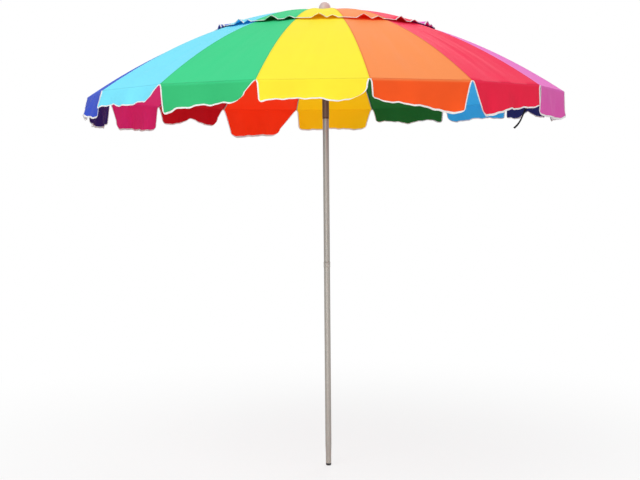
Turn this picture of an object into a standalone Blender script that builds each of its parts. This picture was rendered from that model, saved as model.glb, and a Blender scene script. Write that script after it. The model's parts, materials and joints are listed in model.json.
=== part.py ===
"""Beach umbrella: a two-piece pole, a runner, sixteen ribs and stretchers, and a vented canopy.

Metres, +Z up. The origin is the centre of the foot's underside. The yellow gore faces -Y.
Each rib is modelled in its own radial plane (x outwards, y sideways, z up) about its pivot.
"""

import math

import bmesh
import bpy
from mathutils import Matrix, Vector

# ---- canopy -------------------------------------------------------------------------------
GORES = 16
RIM_RADIUS = 1.10  # pole axis to the corner of the cloth at a rib tip
RIM_Z = 1.756
CANOPY_RISE = 0.394  # rim plane to where the main canopy would close
CANOPY_BOW = 1.9  # power of the ribs' bow: straighter towards the rim than a parabola
VENT_RADIUS = 0.40  # opening at the centre of the main canopy
RING_RADII = (VENT_RADIUS, 0.50, 0.62, 0.75, 0.87, 0.98)  # where the ribs and the cloth bend
CAP_RADIUS = 0.52  # the vent cap overlaps the opening by this much
CAP_TOP_Z = 2.1615
CAP_RING_RADII = (0.15, 0.28, 0.40, CAP_RADIUS)  # where the cap bends
CAP_HEM_LIFT = 0.010  # gap that lets air out, between the cap's hem and the main canopy
CLOTH = 0.0015  # the cloth's stand-in thickness
CAP_HOLE_RADIUS = 0.009
VALANCE_DEPTH = 0.115
VALANCE_SPLAY = math.radians(6)  # the flaps hang a little outwards
VALANCE_NARROWING = 0.016  # each side of a flap leans in by this much at its foot
VALANCE_CORNER = 0.030  # radius of a flap's lower corners
FIRST_RIB = math.radians(-90 + 180 / GORES)

# ---- poles --------------------------------------------------------------------------------
POLE_RADIUS = 0.0145
POLE_BORE = 0.0135
JOINT_Z = 0.980
INSERT_RADIUS = 0.0132
INSERT_BORE = 0.0122
INSERT_LENGTH = 0.120
FOOT_RADIUS = 0.0130
FOOT_BORE = 0.0120
FOOT_TAPER = (0.055, 0.105)  # the lower tube narrows between these heights
PLUG_FLANGE = 0.011
PLUG_NECK = 0.040
COLLAR_RADIUS = 0.0160
COLLAR_LENGTH = 0.025
COLLAR_CHAMFER = (0.0006, 0.0010)  # across and along
PLUG_CHAMFER = (0.0012, 0.0040)  # inwards and up from the sole
SWAGE = (0.003, 0.006)  # heights above the shoulder where the bore widens
POLE_TOP_RECESS = 0.004  # the pole ends this far below the boss
GAP = 0.0003  # clearance between touching solids
ROUND = 24  # sides of the poles and the turned pieces

# ---- crown and runner ---------------------------------------------------------------------
PIVOT_RADIUS = 0.026  # pole axis to the ring wires that the ribs and stretchers turn on
CROWN_Z = 2.144
RUNNER_Z = 1.830
HUB_RADIUS = 0.030
HUB_HALF = 0.006
HUB_SLOT = 0.0034
HUB_SLOT_FLOOR = 0.0208
WIRE_RADIUS = 0.0010
WIRE_GROOVE = 0.0014
SLEEVE_BORE = 0.0148
SLEEVE_RADIUS = 0.0159
SLEEVE_BOTTOM_Z = 1.657
SLEEVE_TOP_Z = 1.842
BOSS_RADIUS = 0.0200
BOSS_TOP_Z = 2.1575
WASHER_RADIUS = 0.026
WASHER_THICKNESS = 0.0018
FINIAL_RADIUS = 0.0290
FINIAL_TOP_Z = 2.2015
FINIAL_NECK_RADIUS = 0.0075
FINIAL_NECK_LENGTH = 0.030
FINIAL_FLANGE = 0.004
FINIAL_UNDERCUT = 0.002
FINIAL_ROUNDNESS = 0.8  # under 1, the dome is fuller than a ball
SKIRT = (0.0025, 0.010)  # wall and height of the collar under the runner's hub

# ---- ribs and stretchers ------------------------------------------------------------------
ROD_RADIUS = 0.0025
RIB_DROP = 0.0066  # rod centre below the top of the cloth
RIB_END_RADIUS = 1.088
TIP_RADIUS = 0.0035
EYE_RADIUS = 0.0040
EYE_HOLE = 0.0016
BLADE_THICKNESS = 0.0024
BLADE_LENGTH = 0.012
BLADE_HALF_HEIGHT = 0.0022
ROD_START = 0.010
RIB_SPRING_RADIUS = 0.20  # the rod is straight up to here
SADDLE_RADIUS_FROM_POLE = 0.500
SADDLE_DROP = 0.0075  # rivet centre below the rod centre
SADDLE_LENGTH = 0.016
SADDLE_WIDTH = 0.0070
RIVET_RADIUS = 0.0013
SADDLE_TOP = 0.0032
SADDLE_LUG = 0.0035  # metal below the rivet
SADDLE_TILT = math.radians(18.5)  # the rib's slope where the saddle is crimped
STRETCHER_RADIUS = 0.0020
STRETCHER_OFFSET = 0.0060  # a stretcher lies this far beside its rib
STRETCHER_PIVOT = math.sqrt(PIVOT_RADIUS**2 - STRETCHER_OFFSET**2)

# ---- spring catches -----------------------------------------------------------------------
BUTTON_Z = 0.930
BUTTON_RADIUS = 0.0029
BUTTON_PROUD = 0.0028
SPRING_THICKNESS = 0.0008
SPRING_WIDTH = 0.0060
SPRING_LENGTH = 0.045
CATCH_TOP_Z = SLEEVE_BOTTOM_Z - 0.0010
CATCH_HEIGHT = 0.020
CATCH_WIDTH = 0.0040
CATCH_PROUD = 0.0040
CATCH_NOSE = 0.003  # upright part of the catch, above its ramp
SPRING_SEAT = 0.0012  # leaf spring inside the bore
SPRING_ABOVE = 0.002
CUTTER = 0.010  # length of the cutters that go through a pole's wall
SLOT_CUTTER = 0.020

# ---- closure strap ------------------------------------------------------------------------
STRAP_ANGLE = math.radians(16)  # where it is sewn, in the gore from 11.25 to 33.75 degrees
STRAP_GORE_ANGLE = math.radians(22.5)  # middle of that gore
STRAP_WIDTH = 0.010
STRAP_THICKNESS = 0.0015
STRAP_LENGTH = 0.19
STRAP_INSET = 0.030  # the strap is sewn this far inside the fold line
STRAP_LEAN = math.radians(31)  # its foot swings back towards the pole
STRAP_DROP = 0.004  # its sewn end below the cloth


# ---- finish -------------------------------------------------------------------------------
STEEL = ((0.33, 0.32, 0.30, 1), 0.42, 1.0)
DARK_STEEL = ((0.16, 0.14, 0.12, 1), 0.45, 1.0)
SPRING_STEEL = ((0.42, 0.42, 0.43, 1), 0.35, 1.0)
RIB_STEEL = ((0.30, 0.30, 0.31, 1), 0.45, 1.0)
HUB_PLASTIC = ((0.045, 0.045, 0.048, 1), 0.5, 0.0)
FINIAL_PLASTIC = ((0.52, 0.42, 0.40, 1), 0.45, 0.0)
PLUG_PLASTIC = ((0.03, 0.03, 0.03, 1), 0.6, 0.0)
CLOTH_YELLOW = ((0.97, 0.83, 0.05, 1), 0.8, 0.0)
CLOTH_ORANGE = ((0.95, 0.30, 0.08, 1), 0.8, 0.0)
STRAP_BLACK = ((0.012, 0.012, 0.014, 1), 0.7, 0.0)


def clear_scene():
    for old in list(bpy.data.objects):
        bpy.data.objects.remove(old, do_unlink=True)


def new_collection(name):
    collection = bpy.data.collections.new(name)
    bpy.context.scene.collection.children.link(collection)
    return collection


def material_for(name, finish):
    colour, roughness, metallic = finish
    material = bpy.data.materials.new(name)
    material.use_nodes = True
    shader = material.node_tree.nodes["Principled BSDF"]
    shader.inputs["Base Color"].default_value = colour
    shader.inputs["Roughness"].default_value = roughness
    shader.inputs["Metallic"].default_value = metallic
    return material


def move_to(obj, collection):
    for holder in list(obj.users_collection):
        holder.objects.unlink(obj)
    collection.objects.link(obj)


def add_part(name, mesh, finish, location=(0, 0, 0), turn=0.0):
    """A node of the umbrella, with its own material, turned about Z and placed."""
    obj = bpy.data.objects.new(name, mesh)
    PARTS.objects.link(obj)
    obj.location = location
    obj.rotation_euler = (0, 0, turn)
    if not mesh.materials:
        mesh.materials.append(None)
    obj.material_slots[0].link = "OBJECT"
    obj.material_slots[0].material = material_for(name, finish)
    return obj


def baked(obj):
    """The object's evaluated mesh in world space; the object itself is removed."""
    depsgraph = bpy.context.evaluated_depsgraph_get()
    mesh = bpy.data.meshes.new_from_object(obj.evaluated_get(depsgraph))
    mesh.transform(obj.matrix_world)
    bpy.data.objects.remove(obj, do_unlink=True)
    weld(mesh)
    return mesh


def weld(mesh):
    shape = bmesh.new()
    shape.from_mesh(mesh)
    bmesh.ops.remove_doubles(shape, verts=shape.verts, dist=1e-6)
    bmesh.ops.recalc_face_normals(shape, faces=shape.faces)
    shape.to_mesh(mesh)
    shape.free()


def combined(mesh, cutters, operation):
    """The mesh joined with, or cut by, each of the other meshes in turn."""
    body = bpy.data.objects.new("body", mesh)
    CUTTERS.objects.link(body)
    tools = []
    for index, cutter in enumerate(cutters):
        tool = bpy.data.objects.new(f"tool_{index}", cutter)
        tool.hide_render = True
        tool.display_type = "WIRE"
        CUTTERS.objects.link(tool)
        modifier = body.modifiers.new(f"boolean_{index}", "BOOLEAN")
        modifier.operation = operation
        modifier.solver = "EXACT"
        modifier.object = tool
        tools.append(tool)
    bpy.context.view_layer.update()
    result = baked(body)
    for tool in tools:
        bpy.data.objects.remove(tool, do_unlink=True)
    return result


def turned(profile, sides=ROUND, closed=True):
    """A mesh turned about Z from (radius, height) points, outer side first and top to bottom."""
    mesh = bpy.data.meshes.new("profile")
    edges = [(i, i + 1) for i in range(len(profile) - 1)]
    if closed:
        edges.append((len(profile) - 1, 0))
    mesh.from_pydata([(r, 0, z) for r, z in profile], edges, [])
    obj = bpy.data.objects.new("profile", mesh)
    CUTTERS.objects.link(obj)
    screw = obj.modifiers.new("turn", "SCREW")
    screw.steps = sides
    screw.render_steps = sides
    screw.use_merge_vertices = True
    screw.merge_threshold = 0.00001
    bpy.context.view_layer.update()
    result = baked(obj)
    result.shade_smooth()
    result.set_sharp_from_angle(angle=math.radians(35))
    return result


def box(size, centre=(0, 0, 0), tilt=0.0):
    """A box, tilted about the local Y axis, whose matrix is baked into its mesh."""
    shape = bmesh.new()
    bmesh.ops.create_cube(shape, size=1.0)
    matrix = Matrix.Translation(centre) @ Matrix.Rotation(tilt, 4, "Y") @ Matrix.Diagonal((*size, 1))
    return transformed(shape, matrix)


def cylinder(radius, length, centre=(0, 0, 0), axis="Y", sides=12):
    shape = bmesh.new()
    bmesh.ops.create_cone(
        shape, cap_ends=True, segments=sides, radius1=radius, radius2=radius, depth=length
    )
    turn = {"X": ("Y", math.pi / 2), "Y": ("X", math.pi / 2), "Z": ("Z", 0.0)}[axis]
    matrix = Matrix.Translation(centre) @ Matrix.Rotation(turn[1], 4, turn[0])
    return transformed(shape, matrix)


def ball(radius, centre):
    shape = bmesh.new()
    bmesh.ops.create_uvsphere(shape, u_segments=8, v_segments=4, radius=radius)
    return transformed(shape, Matrix.Translation(centre))


def transformed(shape, matrix):
    bmesh.ops.transform(shape, matrix=matrix, verts=shape.verts)
    mesh = bpy.data.meshes.new("shape")
    shape.to_mesh(mesh)
    shape.free()
    return mesh


def rod(points, radius, resolution=1):
    """A straight-sided tube along the points, with filled ends, as a mesh."""
    curve = bpy.data.curves.new("rod", "CURVE")
    curve.dimensions = "3D"
    curve.bevel_depth = radius
    curve.bevel_resolution = resolution
    curve.use_fill_caps = True
    spline = curve.splines.new("POLY")
    spline.points.add(len(points) - 1)
    for point, place in zip(spline.points, points):
        point.co = (*place, 1)
    obj = bpy.data.objects.new("rod", curve)
    CUTTERS.objects.link(obj)
    bpy.context.view_layer.update()
    return baked(obj)


def plate(outline, thickness):
    """A flat plate in the XZ plane from closed outlines of (x, z) points, the first the outer one."""
    curve = bpy.data.curves.new("plate", "CURVE")
    curve.dimensions = "2D"
    curve.fill_mode = "BOTH"
    curve.extrude = thickness / 2
    for loop in outline:
        spline = curve.splines.new("POLY")
        spline.points.add(len(loop) - 1)
        for point, (x, z) in zip(spline.points, loop):
            point.co = (x, z, 0, 1)
        spline.use_cyclic_u = True
    obj = bpy.data.objects.new("plate", curve)
    obj.rotation_euler = (math.pi / 2, 0, 0)
    CUTTERS.objects.link(obj)
    bpy.context.view_layer.update()
    return baked(obj)


def circle_points(radius, count, centre=(0, 0)):
    return [
        (
            centre[0] + radius * math.cos(2 * math.pi * k / count),
            centre[1] + radius * math.sin(2 * math.pi * k / count),
        )
        for k in range(count)
    ]


def eye_plate(tail):
    """A flattened rod end: an eye with a hole for the ring wire, and a blade as long as tail."""
    arc = [
        (EYE_RADIUS * math.cos(a), EYE_RADIUS * math.sin(a))
        for a in (math.radians(d) for d in range(45, 316, 45))
    ]
    outer = arc + [(tail, -BLADE_HALF_HEIGHT), (tail, BLADE_HALF_HEIGHT)]
    return plate([outer, circle_points(EYE_HOLE, 8)], BLADE_THICKNESS)


def main_height(radius):
    """Top of the main canopy over a rib."""
    return RIM_Z + CANOPY_RISE * (1 - (radius / RIM_RADIUS) ** CANOPY_BOW)


def cap_height(radius):
    """Top of the vent cap over a rib: flat at the crown, then a parabola down to its hem."""
    hem = main_height(CAP_RADIUS) + CAP_HEM_LIFT
    return CAP_TOP_Z - (CAP_TOP_Z - hem) * (radius / CAP_RADIUS) ** 2


def rib_local(radius):
    """Rod centre in the rib's plane, measured from its pivot."""
    return Vector((radius - PIVOT_RADIUS, 0, main_height(radius) - RIB_DROP - CROWN_Z))


def rivet_local():
    """Centre of the saddle's rivet in the rib's plane, measured from the rib's pivot."""
    down = Vector((-math.sin(SADDLE_TILT), 0, -math.cos(SADDLE_TILT)))
    return rib_local(SADDLE_RADIUS_FROM_POLE) + down * SADDLE_DROP


def rib_mesh():
    """One rib: eye, rod bent by the cloth, crimped saddle with its rivet, rounded tip."""
    reach = [RIB_SPRING_RADIUS, *RING_RADII, RIB_END_RADIUS]
    path = [Vector((ROD_START, 0, 0))] + [rib_local(radius) for radius in reach]
    centre = rib_local(SADDLE_RADIUS_FROM_POLE)
    rivet = rivet_local()
    height = SADDLE_TOP + SADDLE_DROP + SADDLE_LUG
    middle = (centre + rivet) / 2 + (centre - rivet).normalized() * (SADDLE_TOP - SADDLE_LUG) / 2
    saddle = box((SADDLE_LENGTH, SADDLE_WIDTH, height), middle, SADDLE_TILT)
    rivet_end = STRETCHER_OFFSET - BLADE_THICKNESS / 2 - GAP
    pin = cylinder(RIVET_RADIUS, rivet_end, rivet + Vector((0, rivet_end / 2, 0)), "Y", 8)
    pieces = [eye_plate(BLADE_LENGTH), saddle, pin, ball(TIP_RADIUS, rib_local(RIB_END_RADIUS))]
    return combined(rod(path, ROD_RADIUS), pieces, "UNION")


def stretcher_ends():
    """(length, angle above the horizontal) of an open stretcher from its pivot to the rivet."""
    reach = rivet_local() + Vector((PIVOT_RADIUS - STRETCHER_PIVOT, 0, CROWN_Z - RUNNER_Z))
    return reach.length, math.atan2(reach.z, reach.x)


def stretcher_mesh():
    """One stretcher along its own X axis from its pivot, with an eye at both ends."""
    length, rise = stretcher_ends()
    bar = rod([(ROD_START, 0, 0), (length - ROD_START, 0, 0)], STRETCHER_RADIUS)
    far = eye_plate(BLADE_LENGTH)
    far.transform(Matrix.Translation((length, 0, 0)) @ Matrix.Rotation(math.pi, 4, "Z"))
    mesh = combined(bar, [eye_plate(BLADE_LENGTH), far], "UNION")
    mesh.transform(Matrix.Rotation(-rise, 4, "Y"))
    return mesh


def notched_hub(profile, pivot_z, offset):
    """A turned hub with a slot for each rib or stretcher, cut this far beside the rib's plane."""
    shape = bmesh.new()
    for k in range(GORES):
        angle = FIRST_RIB + 2 * math.pi * k / GORES
        place = Matrix.Rotation(angle, 4, "Z") @ Matrix.Translation(
            (HUB_SLOT_FLOOR + SLOT_CUTTER / 2, offset, pivot_z)
        )
        size = Matrix.Diagonal((SLOT_CUTTER, HUB_SLOT, 4 * HUB_HALF, 1))
        bmesh.ops.create_cube(shape, size=1.0, matrix=place @ size)
    slots = transformed(shape, Matrix.Identity(4))
    hub = turned(profile, 2 * GORES)
    hub.transform(Matrix.Rotation(FIRST_RIB + math.pi / GORES / 2, 4, "Z"))
    return combined(hub, [slots], "DIFFERENCE")


def hub_rim(pivot_z):
    """Outer side of a hub, top to bottom, with the groove that the ring wire lies in."""
    return [
        (HUB_RADIUS, pivot_z + HUB_HALF),
        (HUB_RADIUS, pivot_z + WIRE_GROOVE),
        (PIVOT_RADIUS - WIRE_GROOVE, pivot_z + WIRE_GROOVE),
        (PIVOT_RADIUS - WIRE_GROOVE, pivot_z - WIRE_GROOVE),
        (HUB_RADIUS, pivot_z - WIRE_GROOVE),
        (HUB_RADIUS, pivot_z - HUB_HALF),
    ]


def ring_wire(pivot_z):
    """The closed wire that threads the eyes."""
    shape = bmesh.new()
    side = 6
    bmesh.ops.create_circle(shape, segments=side, radius=WIRE_RADIUS)
    matrix = Matrix.Translation((PIVOT_RADIUS, 0, pivot_z)) @ Matrix.Rotation(math.pi / 2, 4, "X")
    bmesh.ops.transform(shape, matrix=matrix, verts=shape.verts)
    bmesh.ops.spin(
        shape,
        geom=shape.verts[:] + shape.edges[:],
        cent=(0, 0, 0),
        axis=(0, 0, 1),
        angle=2 * math.pi,
        steps=2 * GORES,
        use_merge=True,
    )
    mesh = transformed(shape, Matrix.Rotation(FIRST_RIB + math.pi / GORES / 2, 4, "Z"))
    weld(mesh)
    mesh.shade_smooth()
    return mesh


def add_poles():
    """The lower tube with its foot, the upper tube that plugs into it, and their trim."""
    taper_low, taper_high = FOOT_TAPER
    lower = [
        (POLE_RADIUS, JOINT_Z),
        (POLE_RADIUS, taper_high),
        (FOOT_RADIUS, taper_low),
        (FOOT_RADIUS, PLUG_FLANGE + GAP),
        (FOOT_BORE, PLUG_FLANGE + GAP),
        (FOOT_BORE, taper_low),
        (POLE_BORE, taper_high),
        (POLE_BORE, JOINT_Z),
    ]
    hole = cylinder(BUTTON_RADIUS + GAP, CUTTER, (0, POLE_RADIUS, BUTTON_Z))
    add_part("lower_pole_tube", combined(turned(lower), [hole], "DIFFERENCE"), STEEL)
    plug = [
        (0, PLUG_FLANGE + PLUG_NECK),
        (FOOT_BORE - GAP, PLUG_FLANGE + PLUG_NECK),
        (FOOT_BORE - GAP, PLUG_FLANGE),
        (FOOT_RADIUS, PLUG_FLANGE),
        (FOOT_RADIUS, PLUG_CHAMFER[1]),
        (FOOT_RADIUS - PLUG_CHAMFER[0], PLUG_CHAMFER[0]),
        (FOOT_RADIUS - PLUG_CHAMFER[1], 0),
        (0, 0),
    ]
    add_part("foot_plug", turned(plug, closed=False), PLUG_PLASTIC)
    collar_top = JOINT_Z - GAP
    collar_foot = collar_top - COLLAR_LENGTH
    across, along = COLLAR_CHAMFER
    collar = [
        (COLLAR_RADIUS - across, collar_top),
        (COLLAR_RADIUS, collar_top - along),
        (COLLAR_RADIUS, collar_foot + along),
        (COLLAR_RADIUS - across, collar_foot),
        (POLE_RADIUS + GAP, collar_foot),
        (POLE_RADIUS + GAP, collar_top),
    ]
    add_part("pole_socket_collar", turned(collar), STEEL)
    shoulder = JOINT_Z + GAP
    pole_top = BOSS_TOP_Z - POLE_TOP_RECESS
    upper = [
        (POLE_RADIUS, pole_top),
        (POLE_RADIUS, shoulder),
        (INSERT_RADIUS, shoulder),
        (INSERT_RADIUS, JOINT_Z - INSERT_LENGTH),
        (INSERT_BORE, JOINT_Z - INSERT_LENGTH),
        (INSERT_BORE, shoulder + SWAGE[0]),
        (POLE_BORE, shoulder + SWAGE[1]),
        (POLE_BORE, pole_top),
    ]
    hole = cylinder(BUTTON_RADIUS + GAP, CUTTER, (0, POLE_RADIUS, BUTTON_Z))
    catch_slot = box(
        (CATCH_WIDTH + 2 * GAP, CUTTER, CATCH_HEIGHT + 2 * GAP),
        (0, POLE_RADIUS, CATCH_TOP_Z - CATCH_HEIGHT / 2),
    )
    add_part("upper_pole_tube", combined(turned(upper), [hole, catch_slot], "DIFFERENCE"), STEEL)


def add_spring_catches():
    """The snap button of the pole joint and the catch under the open runner, both facing +Y."""
    inner = INSERT_BORE - GAP - SPRING_SEAT
    head = cylinder(
        BUTTON_RADIUS,
        POLE_RADIUS + BUTTON_PROUD - inner,
        (0, (POLE_RADIUS + BUTTON_PROUD + inner) / 2, BUTTON_Z),
    )
    leaf = box(
        (SPRING_WIDTH, SPRING_THICKNESS, SPRING_LENGTH),
        (0, inner, BUTTON_Z - SPRING_LENGTH / 2 + BUTTON_RADIUS + SPRING_ABOVE),
    )
    add_part("pole_snap_button", combined(head, [leaf], "UNION"), SPRING_STEEL)
    inner = POLE_BORE - GAP - SPRING_SEAT
    wedge = [
        (inner, CATCH_TOP_Z),
        (inner, CATCH_TOP_Z - CATCH_HEIGHT),
        (POLE_RADIUS, CATCH_TOP_Z - CATCH_HEIGHT),
        (POLE_RADIUS + CATCH_PROUD, CATCH_TOP_Z - CATCH_NOSE),
        (POLE_RADIUS + CATCH_PROUD, CATCH_TOP_Z),
    ]
    blade = plate([wedge], CATCH_WIDTH)
    blade.transform(Matrix.Rotation(math.pi / 2, 4, "Z"))
    leaf = box(
        (SPRING_WIDTH, SPRING_THICKNESS, SPRING_LENGTH),
        (0, inner, CATCH_TOP_Z - SPRING_LENGTH / 2 + SPRING_ABOVE),
    )
    add_part("runner_catch", combined(blade, [leaf], "UNION"), SPRING_STEEL)


def add_crown():
    """The notched hub that the ribs hang from, its wire, washer and finial."""
    profile = hub_rim(CROWN_Z) + [
        (POLE_RADIUS + GAP, CROWN_Z - HUB_HALF),
        (POLE_RADIUS + GAP, BOSS_TOP_Z),
        (BOSS_RADIUS, BOSS_TOP_Z),
        (BOSS_RADIUS, CROWN_Z + HUB_HALF),
    ]
    add_part("crown_hub", notched_hub(profile, CROWN_Z, 0), HUB_PLASTIC)
    add_part("crown_ring_wire", ring_wire(CROWN_Z), SPRING_STEEL)
    washer_low = BOSS_TOP_Z + GAP
    hole = FINIAL_NECK_RADIUS + GAP
    washer = [
        (WASHER_RADIUS, washer_low + WASHER_THICKNESS),
        (WASHER_RADIUS, washer_low),
        (hole, washer_low),
        (hole, washer_low + WASHER_THICKNESS),
    ]
    add_part("crown_washer", turned(washer), STEEL)
    base = CAP_TOP_Z + GAP
    height = FINIAL_TOP_Z - base
    dome = [
        (
            FINIAL_RADIUS * math.cos(a) ** FINIAL_ROUNDNESS,
            base + FINIAL_FLANGE + (height - FINIAL_FLANGE) * math.sin(a),
        )
        for a in (math.radians(d) for d in (65, 40, 18, 0))
    ]
    finial = [(0, FINIAL_TOP_Z)] + dome + [
        (FINIAL_RADIUS - FINIAL_UNDERCUT, base),
        (FINIAL_NECK_RADIUS, base),
        (FINIAL_NECK_RADIUS, base - FINIAL_NECK_LENGTH),
        (0, base - FINIAL_NECK_LENGTH),
    ]
    add_part("finial", turned(finial, closed=False), FINIAL_PLASTIC)


def add_runner():
    """The sleeve that slides on the pole, with its notched hub and wire."""
    sleeve = [
        (SLEEVE_RADIUS, SLEEVE_TOP_Z),
        (SLEEVE_RADIUS, SLEEVE_BOTTOM_Z),
        (SLEEVE_BORE, SLEEVE_BOTTOM_Z),
        (SLEEVE_BORE, SLEEVE_TOP_Z),
    ]
    add_part("runner_sleeve", turned(sleeve), DARK_STEEL)
    bore = SLEEVE_RADIUS + GAP
    wall, depth = SKIRT
    profile = hub_rim(RUNNER_Z) + [
        (bore + wall, RUNNER_Z - HUB_HALF - depth),
        (bore, RUNNER_Z - HUB_HALF - depth),
        (bore, RUNNER_Z + HUB_HALF),
    ]
    add_part("runner_hub", notched_hub(profile, RUNNER_Z, STRETCHER_OFFSET), HUB_PLASTIC)
    add_part("runner_ring_wire", ring_wire(RUNNER_Z), SPRING_STEEL)


def add_ribs_and_stretchers():
    """Sixteen ribs and stretchers; every origin is on its hinge's axis."""
    rib = rib_mesh()
    stretcher = stretcher_mesh()
    for k in range(GORES):
        angle = FIRST_RIB + 2 * math.pi * k / GORES
        turn = Matrix.Rotation(angle, 4, "Z")
        rib_pivot = turn @ Vector((PIVOT_RADIUS, 0, CROWN_Z))
        stretcher_pivot = turn @ Vector((STRETCHER_PIVOT, STRETCHER_OFFSET, RUNNER_Z))
        add_part(f"rib_{k + 1:02d}", rib, RIB_STEEL, rib_pivot, angle)
        add_part(f"stretcher_{k + 1:02d}", stretcher, RIB_STEEL, stretcher_pivot, angle)


def polar(radius, angle, height):
    return Vector((radius * math.cos(angle), radius * math.sin(angle), height))


def cloth_part(name, shape, finish):
    """A node from an open cloth surface, thickened downwards."""
    bmesh.ops.recalc_face_normals(shape, faces=shape.faces)
    top = max(shape.faces, key=lambda face: face.calc_center_median().z)
    if top.normal.z < 0:
        bmesh.ops.reverse_faces(shape, faces=shape.faces)
    mesh = bpy.data.meshes.new(name)
    shape.to_mesh(mesh)
    shape.free()
    obj = add_part(name, mesh, finish)
    solidify = obj.modifiers.new("thickness", "SOLIDIFY")
    solidify.thickness = CLOTH
    solidify.offset = -1
    solidify.use_even_offset = True
    return obj


def ring_of(shape, radius, height):
    """One vertex over each rib."""
    return [
        shape.verts.new(polar(radius, FIRST_RIB + 2 * math.pi * k / GORES, height))
        for k in range(GORES)
    ]


def gores_between(shape, inner, outer):
    for k in range(GORES):
        after = (k + 1) % GORES
        shape.faces.new((inner[k], outer[k], outer[after], inner[after]))


def flap(shape, left, right):
    """A valance flap below one gore's edge: a flat panel with rounded lower corners."""
    along = (right.co - left.co).normalized()
    outwards = Vector((left.co.x + right.co.x, left.co.y + right.co.y, 0)).normalized()
    down = (outwards * math.sin(VALANCE_SPLAY) - Vector((0, 0, math.cos(VALANCE_SPLAY)))).normalized()
    width = (right.co - left.co).length
    low = VALANCE_DEPTH
    centre_x = VALANCE_NARROWING + VALANCE_CORNER
    corner = [
        (
            centre_x - VALANCE_CORNER * math.cos(math.radians(a)),
            low - VALANCE_CORNER + VALANCE_CORNER * math.sin(math.radians(a)),
        )
        for a in (0, 30, 60, 90)
    ]
    outline = corner + [(width - x, y) for x, y in reversed(corner)]
    points = [shape.verts.new(left.co + along * x + down * y) for x, y in outline]
    shape.faces.new([left] + points + [right])


def add_canopy():
    """The main canopy with its centre opening and flaps, and the vent cap over the opening."""
    shape = bmesh.new()
    radii = [*RING_RADII, RIM_RADIUS]
    rings = [ring_of(shape, radius, main_height(radius)) for radius in radii]
    for inner, outer in zip(rings, rings[1:]):
        gores_between(shape, inner, outer)
    rim = rings[-1]
    for k in range(GORES):
        flap(shape, rim[k], rim[(k + 1) % GORES])
    cloth_part("canopy", shape, CLOTH_YELLOW)
    shape = bmesh.new()
    radii = [CAP_HOLE_RADIUS, HUB_RADIUS, *CAP_RING_RADII]
    heights = [CAP_TOP_Z, CAP_TOP_Z] + [cap_height(radius) for radius in CAP_RING_RADII]
    rings = [ring_of(shape, radius, height) for radius, height in zip(radii, heights)]
    for inner, outer in zip(rings, rings[1:]):
        gores_between(shape, inner, outer)
    cloth_part("vent_cap", shape, CLOTH_ORANGE)


def add_strap():
    """The closure strap, hanging from the inside of the canopy's rim."""
    ring = RIM_RADIUS - STRAP_INSET
    reach = ring * math.cos(math.pi / GORES) / math.cos(STRAP_GORE_ANGLE - STRAP_ANGLE)
    top = polar(reach, STRAP_ANGLE, main_height(ring) - CLOTH - STRAP_DROP)
    strap = box((STRAP_THICKNESS, STRAP_WIDTH, STRAP_LENGTH), (0, 0, -STRAP_LENGTH / 2))
    swing = Matrix.Rotation(STRAP_ANGLE, 4, "Z") @ Matrix.Rotation(STRAP_LEAN, 4, "Y")
    strap.transform(Matrix.Translation(top) @ swing)
    add_part("closure_strap", strap, STRAP_BLACK)


clear_scene()
PARTS = new_collection("beach_umbrella")
CUTTERS = new_collection("cutters")
add_poles()
add_spring_catches()
add_runner()
add_crown()
add_ribs_and_stretchers()
add_canopy()
add_strap()
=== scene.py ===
"""Looks of the beach umbrella: bright woven gores with taped flaps, a vent cap, and a grey two-piece pole.

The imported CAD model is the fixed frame. Everything is in metres, +Z up, and rides on a CAD body.
Each rib carries the cloth from the middle of one gore to the middle of the next, so the canopy folds
with the ribs and reads as one sheet when it is open.
"""

import json
import logging
import math
from collections.abc import Callable, Sequence
from dataclasses import dataclass
from enum import Enum

import bpy
from mathutils import Matrix, Vector

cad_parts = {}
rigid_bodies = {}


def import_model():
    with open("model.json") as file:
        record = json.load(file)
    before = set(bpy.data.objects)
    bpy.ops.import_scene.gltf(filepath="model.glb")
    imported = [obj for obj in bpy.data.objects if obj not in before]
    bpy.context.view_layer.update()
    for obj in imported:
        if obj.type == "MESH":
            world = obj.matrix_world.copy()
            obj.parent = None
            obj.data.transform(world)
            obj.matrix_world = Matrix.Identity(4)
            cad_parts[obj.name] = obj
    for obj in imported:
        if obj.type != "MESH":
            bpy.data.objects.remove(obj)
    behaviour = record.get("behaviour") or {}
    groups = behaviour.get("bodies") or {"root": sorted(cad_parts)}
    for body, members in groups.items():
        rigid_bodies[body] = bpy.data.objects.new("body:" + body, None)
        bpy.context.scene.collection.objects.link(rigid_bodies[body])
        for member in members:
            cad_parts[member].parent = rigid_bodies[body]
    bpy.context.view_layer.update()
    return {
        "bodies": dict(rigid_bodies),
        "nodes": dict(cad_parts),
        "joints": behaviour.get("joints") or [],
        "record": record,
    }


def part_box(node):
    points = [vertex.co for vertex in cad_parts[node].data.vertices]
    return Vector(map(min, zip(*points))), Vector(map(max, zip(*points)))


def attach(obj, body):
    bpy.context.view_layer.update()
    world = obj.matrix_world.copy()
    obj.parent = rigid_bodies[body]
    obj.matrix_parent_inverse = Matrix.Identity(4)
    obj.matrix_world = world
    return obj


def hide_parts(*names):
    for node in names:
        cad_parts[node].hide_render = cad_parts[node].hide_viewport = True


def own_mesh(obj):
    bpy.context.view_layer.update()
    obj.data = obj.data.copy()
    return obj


LOG = logging.getLogger("beach_umbrella")
GORES = 16
HALF_GORE = math.pi / GORES
Point = tuple[float, float]
Colour = tuple[float, float, float]


# ---- shader graphs --------------------------------------------------------------------------


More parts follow.
